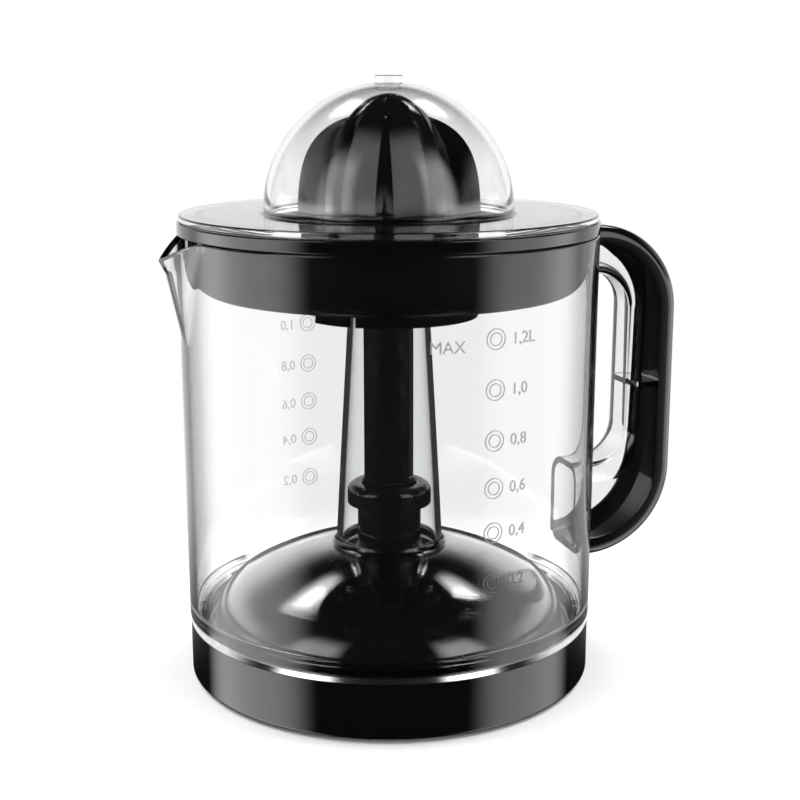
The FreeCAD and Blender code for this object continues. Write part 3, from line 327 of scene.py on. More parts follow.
# Jug
# A clear moulding, polished inside and out: straight wall with a stepped foot, domed floor,
# hollow column for the shaft and a beak drawn out of the rim.
JUG_RADIUS, JUG_DRAFT = 69.3, 0.5
JUG_FOOT, JUG_RIM = 21.6, 151.2
LEDGE = 14.4
SPIGOT = 65.9
COLUMN_TOP, COLUMN_TOP_RADIUS = 124.0, 13.8
COLUMN_KINK, COLUMN_KINK_RADIUS = 69.0, 17.0
COLUMN_FOOT_RADIUS, COLUMN_WALL, COLUMN_FLARE = 18.3, 1.9, 3.0
JUG_BEND, JUG_BEND_DROP, RIM_ROUND_ROOM = 5.0, 1.2, 1.5
SPOUT_LOW, SPOUT_LIP, SPOUT_REACH, SPOUT_DROP = 117.0, 140.0, 7.3, 6.5
SPOUT_HALF_TURN, SPOUT_FOOT_SHARE = math.radians(17), 0.25
SPOUT_SHARPNESS = 0.6
WALL_ZONE = 60.0
WALL_LEVELS, JUG_STEPS = 24, 256
CLEAR_TINT, LAMP_TINT = (0.985, 0.99, 0.992, 1), (0.93, 0.935, 0.94, 1)
CLEAR_IOR, CLEAR_ROUGHNESS = 1.49, 0.012
WAVE_LENGTH, WAVE_RELIEF = 30 * MM, 0.06 * MM


def clear_moulding(name, tint, roughness, sheen=0.5):
    """Clear plastic: refracts and mirrors, lets lamps through, with a faint moulded waviness."""
    material = bpy.data.materials.new(name)
    material.use_nodes = True
    nodes, links = material.node_tree.nodes, material.node_tree.links
    shader = nodes["Principled BSDF"]
    shader.inputs["Base Color"].default_value = tint
    shader.inputs["Roughness"].default_value = roughness
    shader.inputs["IOR"].default_value = CLEAR_IOR
    shader.inputs["Specular IOR Level"].default_value = sheen
    shader.inputs["Transmission Weight"].default_value = 1.0
    place = nodes.new("ShaderNodeTexCoord")
    wave = nodes.new("ShaderNodeTexNoise")
    wave.inputs["Scale"].default_value = 1 / WAVE_LENGTH
    wave.inputs["Detail"].default_value = 1
    links.new(place.outputs["Object"], wave.inputs["Vector"])
    bump = nodes.new("ShaderNodeBump")
    bump.inputs["Strength"].default_value = 0.25
    bump.inputs["Distance"].default_value = WAVE_RELIEF
    links.new(wave.outputs["Fac"], bump.inputs["Height"])
    links.new(bump.outputs["Normal"], shader.inputs["Normal"])
    light_path = nodes.new("ShaderNodeLightPath")
    clear = nodes.new("ShaderNodeBsdfTransparent")
    clear.inputs["Color"].default_value = LAMP_TINT
    mix = nodes.new("ShaderNodeMixShader")
    links.new(light_path.outputs["Is Shadow Ray"], mix.inputs["Fac"])
    links.new(shader.outputs["BSDF"], mix.inputs[1])
    links.new(clear.outputs["BSDF"], mix.inputs[2])
    links.new(mix.outputs["Shader"], nodes["Material Output"].inputs["Surface"])
    return material


def draw_out_spout(mesh):
    """Pull the wall near the rim out to a beak on -X and let its lip dip towards the tip."""
    for vertex in mesh.vertices:
        x, y, z = vertex.co / MM
        radius = math.hypot(x, y)
        rise = (z - SPOUT_LOW) / (JUG_RIM - SPOUT_LOW)
        if radius < WALL_ZONE or rise <= 0:
            continue
        off = abs(math.atan2(y, -x))
        half_turn = SPOUT_HALF_TURN * (SPOUT_FOOT_SHARE + (1 - SPOUT_FOOT_SHARE) * rise)
        if off >= half_turn:
            continue
        near = 1 - off / half_turn
        share = near * near * (1 + SPOUT_SHARPNESS - SPOUT_SHARPNESS * near)
        reach = (radius + SPOUT_REACH * rise * share) / radius
        lip = max(0, (z - SPOUT_LIP) / (JUG_RIM - SPOUT_LIP))
        vertex.co = Vector((x * reach, y * reach, z - SPOUT_DROP * share * lip)) * MM


clear_san = clear_moulding("clear_moulding", CLEAR_TINT, CLEAR_ROUGHNESS)
jug_inside = JUG_RADIUS - JUG_WALL
spigot_inside = SPIGOT - JUG_WALL
column_run = dome_line(0, COLUMN_FOOT_RADIUS + COLUMN_FLARE)
under_run = dome_line(JUG_WALL, COLUMN_FOOT_RADIUS - COLUMN_WALL)
floor_top = LEDGE + JUG_WALL
wall_heights = [JUG_RIM - RIM_ROUND_ROOM - (JUG_RIM - SPOUT_LOW) * k / WALL_LEVELS
                for k in range(WALL_LEVELS + 1)]
wall_in = [(jug_inside + JUG_DRAFT * (z - JUG_FOOT) / (JUG_RIM - JUG_FOOT), z, 0) for z in wall_heights]
wall_out = [(x + JUG_WALL, z, 0) for x, z, _ in reversed(wall_in)]
jug_profile = rounded([
    (jug_inside + JUG_DRAFT, JUG_RIM, 0.9), *wall_in, (jug_inside, JUG_FOOT + JUG_BEND, 1.5),
    (spigot_inside, JUG_FOOT + JUG_BEND_DROP, 1.5), (spigot_inside, floor_top, 2.2),
    (DOME_FOOT, floor_top, 0.2), *[(x, z, 0) for x, z in column_run],
    (COLUMN_FOOT_RADIUS, column_run[-1][1] + 1.0, 4), (COLUMN_KINK_RADIUS, COLUMN_KINK, 6),
    (COLUMN_TOP_RADIUS, COLUMN_TOP, 0.8), (COLUMN_TOP_RADIUS - COLUMN_WALL, COLUMN_TOP, 0.8),
    (COLUMN_KINK_RADIUS - COLUMN_WALL, COLUMN_KINK, 6),
    *[(x, z, 0) for x, z in reversed(under_run)], (DOME_FOOT - JUG_WALL, LEDGE, 0.3),
    (SPIGOT, LEDGE, 0.6), (SPIGOT, JUG_FOOT, 0.3), (JUG_RADIUS, JUG_FOOT, 0.6), *wall_out,
    (JUG_RADIUS + JUG_DRAFT, JUG_RIM, 0.9),
])
jug_mesh = turned(jug_profile, JUG_STEPS)
draw_out_spout(jug_mesh)
piece("jug_body", jug_mesh, clear_san, "jug", ["jug"], crease=50)

# Volume marks
# Raised in the wall of the jug, left a little duller than the polished plastic: six double rings
# with their litres, and a word at the fill line. The scale stands twice, on opposite sides.
MARK_LITRES = (("0,2", 50.0), ("0,4", 66.0), ("0,6", 80.0), ("0,8", 94.8), ("1,0", 110.4),
               ("1,2L", 125.8))
MARK_TURNS = (math.radians(-81), math.radians(99))
MARK_RELIEF, MARK_GAP = 0.16, 0.02
RING_RADII, RING_LINE = (3.3, 2.1), 0.32
NUMBER_HEIGHT, NUMBER_SHIFT, NUMBER_DROP = 5.2, 5.6, 1.9
DULL_TINT, DULL_ROUGHNESS = (0.6, 0.6, 0.61, 1), 0.3
FILL_WORD, FILL_HEIGHT, FILL_SHIFT = "MAX", 122.4, -21.2


def flat_ring(radius, line, steps=40):
    """Flat ring of rectangular section round the origin, as tall as the marks' relief."""
    work = bmesh.new()
    loops = []
    inside = radius - line
    turns = [2 * math.pi * k / steps for k in range(steps)]
    for reach, lift in ((radius, 0), (radius, MARK_RELIEF), (inside, MARK_RELIEF), (inside, 0)):
        loops.append([work.verts.new((reach * math.cos(t), reach * math.sin(t), lift)) for t in turns])
    for here, there in zip(loops, loops[1:] + loops[:1]):
        for k in range(steps):
            work.faces.new((here[k], here[(k + 1) % steps], there[(k + 1) % steps], there[k]))
    return work


def flat_word(text, height):
    """Raised letters that start at the origin, as tall as the marks' relief."""
    curve = bpy.data.curves.new("letters", "FONT")
    curve.body = text
    curve.size = height
    curve.extrude = MARK_RELIEF / 2
    curve.resolution_u = 3
    holder = placed("letters", curve)
    mesh = applied(holder)
    bpy.data.objects.remove(holder)
    work = bmesh.new()
    work.from_mesh(mesh)
    bmesh.ops.remove_doubles(work, verts=work.verts, dist=1e-4)
    bmesh.ops.translate(work, verts=work.verts, vec=(0, 0, MARK_RELIEF / 2))
    return work


def wrap_mark(work, whole, turn, shift, height):
    """Lay a flat mark on the jug's outer wall and add it to the whole scale."""
    mesh = bpy.data.meshes.new("mark")
    for vertex in work.verts:
        z = height + vertex.co.y
        radius = JUG_RADIUS + JUG_DRAFT * (z - JUG_FOOT) / (JUG_RIM - JUG_FOOT) + MARK_GAP
        angle = turn + (shift + vertex.co.x) / radius
        radius += vertex.co.z
        vertex.co = (radius * math.cos(angle) * MM, radius * math.sin(angle) * MM, z * MM)
    work.to_mesh(mesh)
    work.free()
    whole.from_mesh(mesh)
    bpy.data.meshes.remove(mesh)


scale_marks = bmesh.new()
for mark_turn in MARK_TURNS:
    for litres, mark_height in MARK_LITRES:
        for ring_radius in RING_RADII:
            wrap_mark(flat_ring(ring_radius, RING_LINE), scale_marks, mark_turn, 0, mark_height)
        number = flat_word(litres, NUMBER_HEIGHT)
        wrap_mark(number, scale_marks, mark_turn, NUMBER_SHIFT, mark_height - NUMBER_DROP)
    fill_word = flat_word(FILL_WORD, NUMBER_HEIGHT)
    wrap_mark(fill_word, scale_marks, mark_turn, FILL_SHIFT, FILL_HEIGHT)
dull_san = clear_moulding("dull_relief", DULL_TINT, DULL_ROUGHNESS)
piece("scale_marks", outward(scale_marks), dull_san, "jug")

# Handle channel
# Clear like the jug and moulded with it: a U-shaped channel with a soft inner edge that bends
# round the finger gap from rim to belly, and one cross web halfway down.
CHANNEL_HALF, CHANNEL_WALL, CHANNEL_BEND = 11.6, 2.3, 7.0
GRIP_OUTER, GRIP_INNER = 102.4, 87.0
COVER_SEAT = 3.3
GAP_TOP, GAP_LOW, GAP_ROUND = 135.0, 67.0, 13.0
GRIP_TOP, GRIP_TOP_ROUND = 122.0, 30.0
GRIP_LOW, GRIP_LOW_ROUND = 65.8, 31.5
WEB_HEIGHT, WEB_HALF = 95.0, 1.0
ROOT_PLAY = 0.05
CHANNEL_STEPS, EDGE_STEPS = 14, 8


def quarter_turn(steps):
    """Angles from nothing to a quarter turn, evenly spaced."""
    return [math.pi / 2 * k / steps for k in range(steps + 1)]


def grip_stations():
    """Pairs of inner and outer points down the handle, in the plane of handle and spout."""
    quarter = quarter_turn(CHANNEL_STEPS)
    seat_top, seat_low = GRIP_TOP_ROUND - COVER_SEAT, GRIP_LOW_ROUND - COVER_SEAT
    top_x, low_x = GRIP_OUTER - GRIP_TOP_ROUND, GRIP_OUTER - GRIP_LOW_ROUND
    gap_x, gap_top, gap_low = GRIP_INNER - GAP_ROUND, GAP_TOP - GAP_ROUND, GAP_LOW + GAP_ROUND
    inner = [(gap_x + GAP_ROUND * math.sin(t), gap_top + GAP_ROUND * math.cos(t)) for t in quarter]
    outer = [(top_x + seat_top * math.sin(t), GRIP_TOP + seat_top * math.cos(t)) for t in quarter]
    inner += [(gap_x + GAP_ROUND * math.cos(t), gap_low - GAP_ROUND * math.sin(t)) for t in quarter]
    outer += [(low_x + seat_low * math.cos(t), GRIP_LOW - seat_low * math.sin(t)) for t in quarter]
    root = JUG_RADIUS + JUG_DRAFT
    return list(zip([(root, GAP_TOP), *inner, (root, GAP_LOW)],
                    [(root, outer[0][1]), *outer, (root, outer[-1][1])]))


def channel_section(depth):
    """U-shaped section as (distance from the inner face, half width) points: outside, then inside."""
    def side(wall):
        """One side of the U and half of its back, set in by a wall."""
        bend = CHANNEL_BEND - wall
        flat = CHANNEL_HALF - wall
        arc = [(CHANNEL_BEND - bend * math.sin(t), flat - bend + bend * math.cos(t))
               for t in quarter_turn(EDGE_STEPS)]
        return [(depth, flat), *arc]
    outside, inside = side(0), side(CHANNEL_WALL)
    loop = outside + [(u, -v) for u, v in reversed(outside)]
    return loop + [(u, -v) for u, v in inside] + inside[::-1]


def swept(rings):
    """Closed shape through a row of like rings of points in millimetres, capped at both ends."""
    work = bmesh.new()
    loops = [[work.verts.new(Vector(point) * MM) for point in ring] for ring in rings]
    count = len(loops[0])
    for above, below in zip(loops, loops[1:]):
        for k in range(count):
            work.faces.new((above[k], above[(k + 1) % count], below[(k + 1) % count], below[k]))
    work.faces.new(loops[0])
    work.faces.new(loops[-1])
    return work


def handle_channel():
    """The channel from rim to belly, its roots cut to the round of the wall, with its web."""
    wall = JUG_RADIUS + JUG_DRAFT + ROOT_PLAY
    rings = []
    for inner, outer in grip_stations():
        along = Vector(outer) - Vector(inner)
        places = [(Vector(inner) + along.normalized() * u, v) for u, v in channel_section(along.length)]
        rings.append([(place.x, v, place.y) for place, v in places])
    for end in (0, -1):
        rings[end] = [(math.sqrt(wall * wall - y * y), y, z) for x, y, z in rings[end]]
    work = swept(rings)
    near, far = GRIP_INNER + CHANNEL_WALL, GRIP_OUTER - COVER_SEAT
    half = CHANNEL_HALF - CHANNEL_WALL
    for vertex in bmesh.ops.create_cube(work, size=2)["verts"]:
        vertex.co = Vector(((near + far) / 2 + vertex.co.x * (far - near) / 2, vertex.co.y * half,
                            WEB_HEIGHT + vertex.co.z * WEB_HALF)) * MM
    return outward(work)


piece("handle_channel", handle_channel(), clear_san, "jug", crease=50)

# Handle cover
# Gloss black shell that snaps over the clear channel from outside and makes the grip's back, with
# rounded edges and two lips that reach down the channel's sides.
COVER_HALF, COVER_SKIN, COVER_LIP, COVER_ROUND = 13.0, 3.0, 6.6, 4.0
COVER_LIP_WALL, COVER_ROOT = 1.1, 70.6
COVER_STEPS = 24


def cover_section():
    """Section as (depth from the outer face, half width) points: outside, then inside."""
    arc = [(COVER_ROUND - COVER_ROUND * math.sin(t), COVER_HALF - COVER_ROUND + COVER_ROUND * math.cos(t))
           for t in quarter_turn(EDGE_STEPS)]
    outside = [(COVER_LIP, COVER_HALF), *arc]
    inside = [(COVER_LIP, COVER_HALF - COVER_LIP_WALL), (COVER_SKIN, COVER_HALF - COVER_LIP_WALL)]
    loop = outside + [(d, -v) for d, v in reversed(outside)]
    return loop + [(d, -v) for d, v in inside] + inside[::-1]


def handle_cover():
    """The cover from rim to belly, along two large bends."""
    quarter = quarter_turn(COVER_STEPS)
    forward_and_down = [(math.sin(t), math.cos(t)) for t in quarter]
    down_and_back = [(math.cos(t), -math.sin(t)) for t in quarter]
    bends = ((GRIP_TOP, GRIP_TOP_ROUND, forward_and_down), (GRIP_LOW, GRIP_LOW_ROUND, down_and_back))
    rings = []
    for middle_z, radius, headings in bends:
        middle_x = GRIP_OUTER - radius
        for x, z in headings:
            rings.append([(middle_x + x * (radius - depth), v, middle_z + z * (radius - depth))
                          for depth, v in cover_section()])
    top = [(COVER_ROOT, y, z) for x, y, z in rings[0]]
    low = [(COVER_ROOT, y, z) for x, y, z in rings[-1]]
    return outward(swept([top, *rings, low]))


piece("handle_back", handle_cover(), gloss_black, "jug", ["handle_cover"], crease=40)

# Strainer
# A black bowl that hangs by its flange in the jug's mouth. Juice leaves through radial slots in
# its floor, its wall carries fine upright ribs, and its hub holds the drive shaft.
FLANGE_RADIUS, FLANGE_LOW, FLANGE_TOP = 69.9, 151.4, 155.4
BOWL_RADIUS, BOWL_WALL, BOWL_BOTTOM, BOWL_ROUND = 66.0, 1.8, 131.5, 11.0
HUB_BORE, HUB_RADIUS, HUB_LOW, HUB_TOP = 9.3, 10.8, 126.0, 141.0
POST_BORE, POST_RADIUS, POST_LOW = 12.4, 14.0, 124.6
BEAD_RADIUS, BEAD_HEIGHT = 14.8, 1.2
BOWL_STEPS = 240
SLOT_START, SLOT_END, SLOT_WIDTH, SLOT_COUNT = 17.0, 46.0, 2.2, 20
RIB_COUNT, RIB_HEIGHT, RIB_WIDTH = 32, 0.4, 1.0


def node_group(name):
    """Empty geometry group that takes a mesh in and gives a mesh out."""
    group = bpy.data.node_groups.new(name, "GeometryNodeTree")
    group.interface.new_socket("Geometry", in_out="INPUT", socket_type="NodeSocketGeometry")
    group.interface.new_socket("Geometry", in_out="OUTPUT", socket_type="NodeSocketGeometry")
    return group


def arithmetic(tree, operation, first, second):
    """Math node of two inputs, each a socket or a number; returns its result."""
    node = tree.nodes.new("ShaderNodeMath")
    node.operation = operation
    for slot, value in zip(node.inputs, (first, second)):
        if isinstance(value, (int, float)):
            slot.default_value = value
        else:
            tree.links.new(value, slot)
    return node.outputs["Value"]


def ring_of_bars(name, material):
    """Group that repeats one bar evenly round the Z axis; all its sizes are inputs."""
    group = node_group(name)
    inputs = {}
    sockets = (("Count", "NodeSocketInt", 8), ("Radius", "NodeSocketFloat", 0.05),
               ("Height", "NodeSocketFloat", 0.1), ("Length", "NodeSocketVector", (0.01,) * 3))
    for label, kind, value in sockets:
        socket = group.interface.new_socket(label, in_out="INPUT", socket_type=kind)
        socket.default_value = value
        inputs[label] = socket.identifier
    nodes, links = group.nodes, group.links
    given, result = nodes.new("NodeGroupInput"), nodes.new("NodeGroupOutput")
    circle = nodes.new("GeometryNodeMeshCircle")
    links.new(given.outputs["Count"], circle.inputs["Vertices"])
    links.new(given.outputs["Radius"], circle.inputs["Radius"])
    lift = nodes.new("ShaderNodeCombineXYZ")
    links.new(given.outputs["Height"], lift.inputs["Z"])
    raised = nodes.new("GeometryNodeSetPosition")
    links.new(circle.outputs["Mesh"], raised.inputs["Geometry"])
    links.new(lift.outputs["Vector"], raised.inputs["Offset"])
    bar = nodes.new("GeometryNodeMeshCube")
    links.new(given.outputs["Length"], bar.inputs["Size"])
    index = nodes.new("GeometryNodeInputIndex")
    share = arithmetic(group, "DIVIDE", index.outputs["Index"], given.outputs["Count"])
    turn = nodes.new("ShaderNodeCombineXYZ")
    links.new(arithmetic(group, "MULTIPLY", share, 2 * math.pi), turn.inputs["Z"])
    scatter = nodes.new("GeometryNodeInstanceOnPoints")
    links.new(raised.outputs["Geometry"], scatter.inputs["Points"])
    links.new(bar.outputs["Mesh"], scatter.inputs["Instance"])
    links.new(turn.outputs["Vector"], scatter.inputs["Rotation"])
    real = nodes.new("GeometryNodeRealizeInstances")
    links.new(scatter.outputs["Instances"], real.inputs["Geometry"])
    finish = nodes.new("GeometryNodeSetMaterial")
    finish.inputs["Material"].default_value = material
    links.new(real.outputs["Geometry"], finish.inputs["Geometry"])
    links.new(finish.outputs["Geometry"], result.inputs["Geometry"])
    return group, inputs


def grown(name, group, values):
    """Mesh that a geometry group makes with the given input values."""
    holder = placed(name, bpy.data.meshes.new(name))
    modifier = holder.modifiers.new(name, "NODES")
    modifier.node_group = group
    for identifier, value in values.items():
        modifier[identifier] = value
    mesh = applied(holder)
    holder.modifiers.remove(modifier)
    bpy.data.objects.remove(holder)
    return mesh


bars, bar_inputs = ring_of_bars("bars_round_axis", gloss_black)
bowl_inside, bowl_floor = BOWL_RADIUS - BOWL_WALL, BOWL_BOTTOM + BOWL_WALL
bowl_profile = rounded([
    (FLANGE_RADIUS, FLANGE_LOW, 0.4), (FLANGE_RADIUS, FLANGE_TOP, 0.5), (bowl_inside, FLANGE_TOP, 0.6),
    (bowl_inside, bowl_floor, BOWL_ROUND - BOWL_WALL),
    (HUB_RADIUS, bowl_floor, 0.8), (HUB_RADIUS, HUB_TOP, 0.4), (HUB_BORE, HUB_TOP, 0.3),
    (HUB_BORE, HUB_LOW, 0.2), (HUB_RADIUS, HUB_LOW, 0.2), (HUB_RADIUS, BOWL_BOTTOM, 0.3),
    (POST_BORE, BOWL_BOTTOM, 0.3), (POST_BORE, POST_LOW, 0.2), (BEAD_RADIUS, POST_LOW, 0.3),
    (POST_RADIUS, POST_LOW + BEAD_HEIGHT, 0.2), (POST_RADIUS, BOWL_BOTTOM, 0.3),
    (BOWL_RADIUS, BOWL_BOTTOM, BOWL_ROUND), (BOWL_RADIUS, FLANGE_LOW, 0.6),
])
slot_cutter = grown("slot_cutter", bars, {
    bar_inputs["Count"]: SLOT_COUNT, bar_inputs["Radius"]: (SLOT_START + SLOT_END) / 2 * MM,
    bar_inputs["Height"]: (BOWL_BOTTOM + BOWL_WALL / 2) * MM,
    bar_inputs["Length"]: ((SLOT_END - SLOT_START) * MM, SLOT_WIDTH * MM, BOWL_WALL * 2 * MM)})
bowl_mesh = cut_away(turned(bowl_profile, BOWL_STEPS), slot_cutter)
piece("strainer_bowl", bowl_mesh, gloss_black, "strainer", ["strainer"])
rib_low = BOWL_BOTTOM + BOWL_ROUND
ribs = grown("bowl_ribs", bars, {
    bar_inputs["Count"]: RIB_COUNT, bar_inputs["Radius"]: BOWL_RADIUS * MM,
    bar_inputs["Height"]: (rib_low + FLANGE_LOW) / 2 * MM,
    bar_inputs["Length"]: (RIB_HEIGHT * 2 * MM, RIB_WIDTH * MM, (FLANGE_LOW - rib_low) * MM)})
piece("bowl_ribs", ribs, gloss_black, "strainer")

# Pulp ring
# A gloss ring that turns under the strainer to close or open the inner ends of its slots. A slit in
# its skirt lets it spring over the bead.
EDGE_CREASE = 30
ring_mesh = refined("pulp_ring")
piece("pulp_selector", ring_mesh, gloss_black, "pulp_ring", ["pulp_ring"], EDGE_CREASE)

# Drive shaft
# A six-sided shaft with the same gloss, from the spindle up into the cone. A clip under the hub of
# the strainer keeps it in place.
shaft_mesh = refined("drive_shaft")
piece("shaft", shaft_mesh, gloss_black, "cone", ["drive_shaft"], EDGE_CREASE)

# Reamer cone
# A gloss black cone with four tall ribs that meet in a cross at the tip. Each hollow between
# them holds a short sharp rib shaped like a leaf.
CONE_FOOT, CONE_APEX, CONE_TIP = 137.0, 196.3, 0.8
CONE_TURN = math.radians(-111.5)
RIB_RADIUS, RIB_HALF = 26.0, 2.3
LEAF_RADIUS, LEAF_HALF, LEAF_TIP = 30.6, 3.8, 190.2
VALLEY_DEPTH, VALLEY_DIP = 3.0, 0.9
RIB_SWELL, RIB_BOW = 3.6, 0.62
LEAF_SWELL, LEAF_BOW, LEAF_FLANK = 5, 0.42, 0.85
RIB_SHARE, RIB_SOFT, RIB_SHOULDER = 0.55, 0.35, 0.9
LEAF_LEAST = 0.02
VALLEY_STEPS, CONE_LEVELS = 12, 90
CONE_HOLLOW = ((6.2, 172.3), (12.0, 172.0), (19.8, 150.0), (19.8, CONE_FOOT))


def cone_eighth(height):
    """Half of one hollow at a height: (angle, radius) from the leaf's crest to the rib's middle."""
    rise = min(1.0, (height - CONE_FOOT) / (CONE_APEX - CONE_FOOT))
    leaf_rise = min(1.0, (height - CONE_FOOT) / (LEAF_TIP - CONE_FOOT))
    rib = CONE_TIP + (RIB_RADIUS - CONE_TIP) * (1 - rise ** RIB_SWELL) ** RIB_BOW
    hollow = rib * (1 - VALLEY_DEPTH / RIB_RADIUS)
    leaf = max(LEAF_RADIUS * (1 - leaf_rise ** LEAF_SWELL) ** LEAF_BOW, hollow)
    leaf_foot = max(LEAF_HALF * math.sqrt(1 - leaf_rise ** 2) / RIB_RADIUS, LEAF_LEAST)
    half = min(RIB_HALF, hollow * RIB_SHARE)
    rib_foot = math.pi / 4 - math.asin(half / hollow)
    rib_edge = math.pi / 4 - math.asin(half / rib)
    points = [(leaf_foot * k / 4, leaf + (hollow - leaf) * (k / 4) ** LEAF_FLANK) for k in range(5)]
    for k in range(1, VALLEY_STEPS + 1):
        share = k / VALLEY_STEPS
        points.append((leaf_foot + (rib_foot - leaf_foot) * share,
                       hollow - VALLEY_DIP * rib / RIB_RADIUS * 4 * share * (1 - share)))
    soft = RIB_SOFT * rib / RIB_RADIUS
    crest = rib_edge + soft / rib
    points.append((rib_foot + (rib_edge - rib_foot) * RIB_SHOULDER, rib - soft))
    points.append((crest, rib))
    points += [(crest + (math.pi / 4 - crest) * k / 3, rib) for k in range(1, 4)]
    return points


def ribbed_cone():
    """Closed mesh of the cone: ribbed outside, plain hollow inside."""
    work = bmesh.new()
    sections = []
    for level in range(CONE_LEVELS + 1):
        height = CONE_FOOT + (CONE_APEX - CONE_FOOT) * math.sin(level / CONE_LEVELS * math.pi / 2)
        eighth = cone_eighth(height)
        quarter = [(-t, r) for t, r in reversed(eighth[1:])] + eighth[:-1]
        sections.append([(t + CONE_TURN + q * math.pi / 2, r, height)
                         for q in range(4) for t, r in quarter])
    count = len(sections[0])
    spread = [t for t, r, z in sections[0]]
    hollow = [[(t, r, z) for t in spread] for r, z in CONE_HOLLOW]
    rings = [[work.verts.new((r * math.cos(t) * MM, r * math.sin(t) * MM, z * MM)) for t, r, z in ring]
             for ring in hollow + sections]
    for lower, upper in zip(rings, rings[1:]):
        for k in range(count):
            work.faces.new((lower[k], lower[(k + 1) % count], upper[(k + 1) % count], upper[k]))
    work.faces.new(rings[-1])
    work.faces.new(rings[0])
    return outward(work)


reamer_black = moulded("reamer_black", GLOSS_BLACK, 0.09, 9 * MM, 0.01 * MM)
cone_mesh = ribbed_cone()
piece("ribbed_reamer", cone_mesh, reamer_black, "cone", ["reamer_cone"], crease=32)

# Dust cover
# A clear lid: flat brim, half-round dome with a flat gate nub, and a ring under the brim that
# drops inside the strainer's mouth.
BRIM_RADIUS, BRIM_LOW, BRIM_TOP = 69.2, 155.6, 157.8
LID_RADIUS, LID_TOP, LID_WALL = 41.5, 200.0, 2.0
NUB_RADIUS, NUB_TOP = 4.6, 202.0
GUIDE_INSIDE, GUIDE_OUTSIDE, GUIDE_LOW = 62.0, 63.6, 152.0
LID_TINT, LID_SHEEN = (0.99, 0.993, 0.995, 1), 0.2
LID_BANDS, LID_STEPS = 30, 224
lid_spring = LID_TOP - LID_RADIUS
lid_inside = LID_RADIUS - LID_WALL
nub_turn = math.acos(NUB_RADIUS / LID_RADIUS)
out_turns = [nub_turn * k / LID_BANDS for k in range(1, LID_BANDS + 1)]
in_turns = [math.pi / 2 * k / LID_BANDS for k in range(LID_BANDS - 1, -1, -1)]
lid_out = [(LID_RADIUS * math.cos(t), lid_spring + LID_RADIUS * math.sin(t), 0) for t in out_turns]
lid_in = [(lid_inside * math.cos(t), lid_spring + lid_inside * math.sin(t), 0) for t in in_turns]
cover_profile = rounded([
    (BRIM_RADIUS, BRIM_LOW, 0.5), (BRIM_RADIUS, BRIM_TOP, 0.6), (LID_RADIUS, BRIM_TOP, 1.6), *lid_out,
    (NUB_RADIUS, NUB_TOP, 0.5), (0, NUB_TOP, 0), (0, LID_TOP - LID_WALL, 0), *lid_in,
    (lid_inside, BRIM_LOW, 0.6), (GUIDE_INSIDE, BRIM_LOW, 0.2), (GUIDE_INSIDE, GUIDE_LOW, 0.4),
    (GUIDE_OUTSIDE, GUIDE_LOW, 0.4), (GUIDE_OUTSIDE, BRIM_LOW, 0.2),
])
clear_lid = clear_moulding("clear_lid", LID_TINT, CLEAR_ROUGHNESS, LID_SHEEN)
lid_mesh = turned(cover_profile, LID_STEPS)
piece("clear_cover", lid_mesh, clear_lid, "cover", ["dust_cover"], crease=50)

# Stage
# A floor that fades to white, a lamp at each side, and for the gloss to mirror a white backdrop and
# soft upright panels: a low pair for the base, a tall pair for cone and bowl, a high pair for the dome.
CAMERA_TURN = math.radians(-108)
CAMERA_RANGE, CAMERA_HEIGHT = 485.6 * MM, 201.2 * MM
CAMERA_PITCH, CAMERA_YAW = math.radians(-12.48), math.radians(-0.44)
IMAGE_SIDE, FOCAL_PIXELS, SENSOR_SIDE = 800, 1457, 36
LAMP_TURN, LAMP_DISTANCE, LAMP_HEIGHT, LAMP_AIM = 100, 0.65, 0.8, 0.1
LAMP_WIDTH, LAMP_TALL, LAMP_POWER = 0.7, 0.6, 9
FILL_LEVEL, ROOM_LEVEL = 0.3, 0.012
SIDES = (-1, 1)
Panel = namedtuple("Panel", "turn core edge level foot head")
BACKDROP = Panel(180, 74, 100, 1.0, (-23, -15), (16, 36))
LOW_PAIR = (Panel(-84, 14, 44, 3.4, (-70, -60), (0, 8)), Panel(84, 12, 40, 2.6, (-70, -60), (0, 8)))
TALL_PAIR = (Panel(-52, 4, 22, 2.4, (-6, 6), (34, 60)), Panel(50, 4, 20, 2.8, (-6, 6), (34, 60)))
HIGH_PAIR = [Panel(side * 147, 7, 16, 4.5, (42, 48), (53, 60)) for side in SIDES]
HIGH_CORES = [Panel(side * 146, 3, 8, 6.0, (46, 49), (52, 55)) for side in SIDES]
MIRRORED_PANELS = (BACKDROP, *LOW_PAIR, *TALL_PAIR, *HIGH_PAIR, *HIGH_CORES)
FLOOR_RADIUS, FADE_START, FADE_END = 6, 0.075, 0.2
FLOOR_WHITE, FLOOR_MIRRORED = (0.9, 0.9, 0.9, 1), (0.012, 0.012, 0.012, 1)
scene = bpy.context.scene
scene.view_settings.view_transform = "Standard"


def place_camera():
    """Camera at the photograph's place, aim and focal length."""
    data = bpy.data.cameras.new("photo_camera")
    data.sensor_width = SENSOR_SIDE
    data.lens = FOCAL_PIXELS / IMAGE_SIDE * data.sensor_width
    data.clip_start = 0.01
    made = placed("photo_camera", data)
    made.location = (CAMERA_RANGE * math.cos(CAMERA_TURN), CAMERA_RANGE * math.sin(CAMERA_TURN),
                     CAMERA_HEIGHT)
    heading = CAMERA_TURN + math.pi + CAMERA_YAW
    level = math.cos(CAMERA_PITCH)
    aim = Vector((math.cos(heading) * level, math.sin(heading) * level, math.sin(CAMERA_PITCH)))
    made.rotation_euler = aim.to_track_quat("-Z", "Y").to_euler()
    scene.camera = made


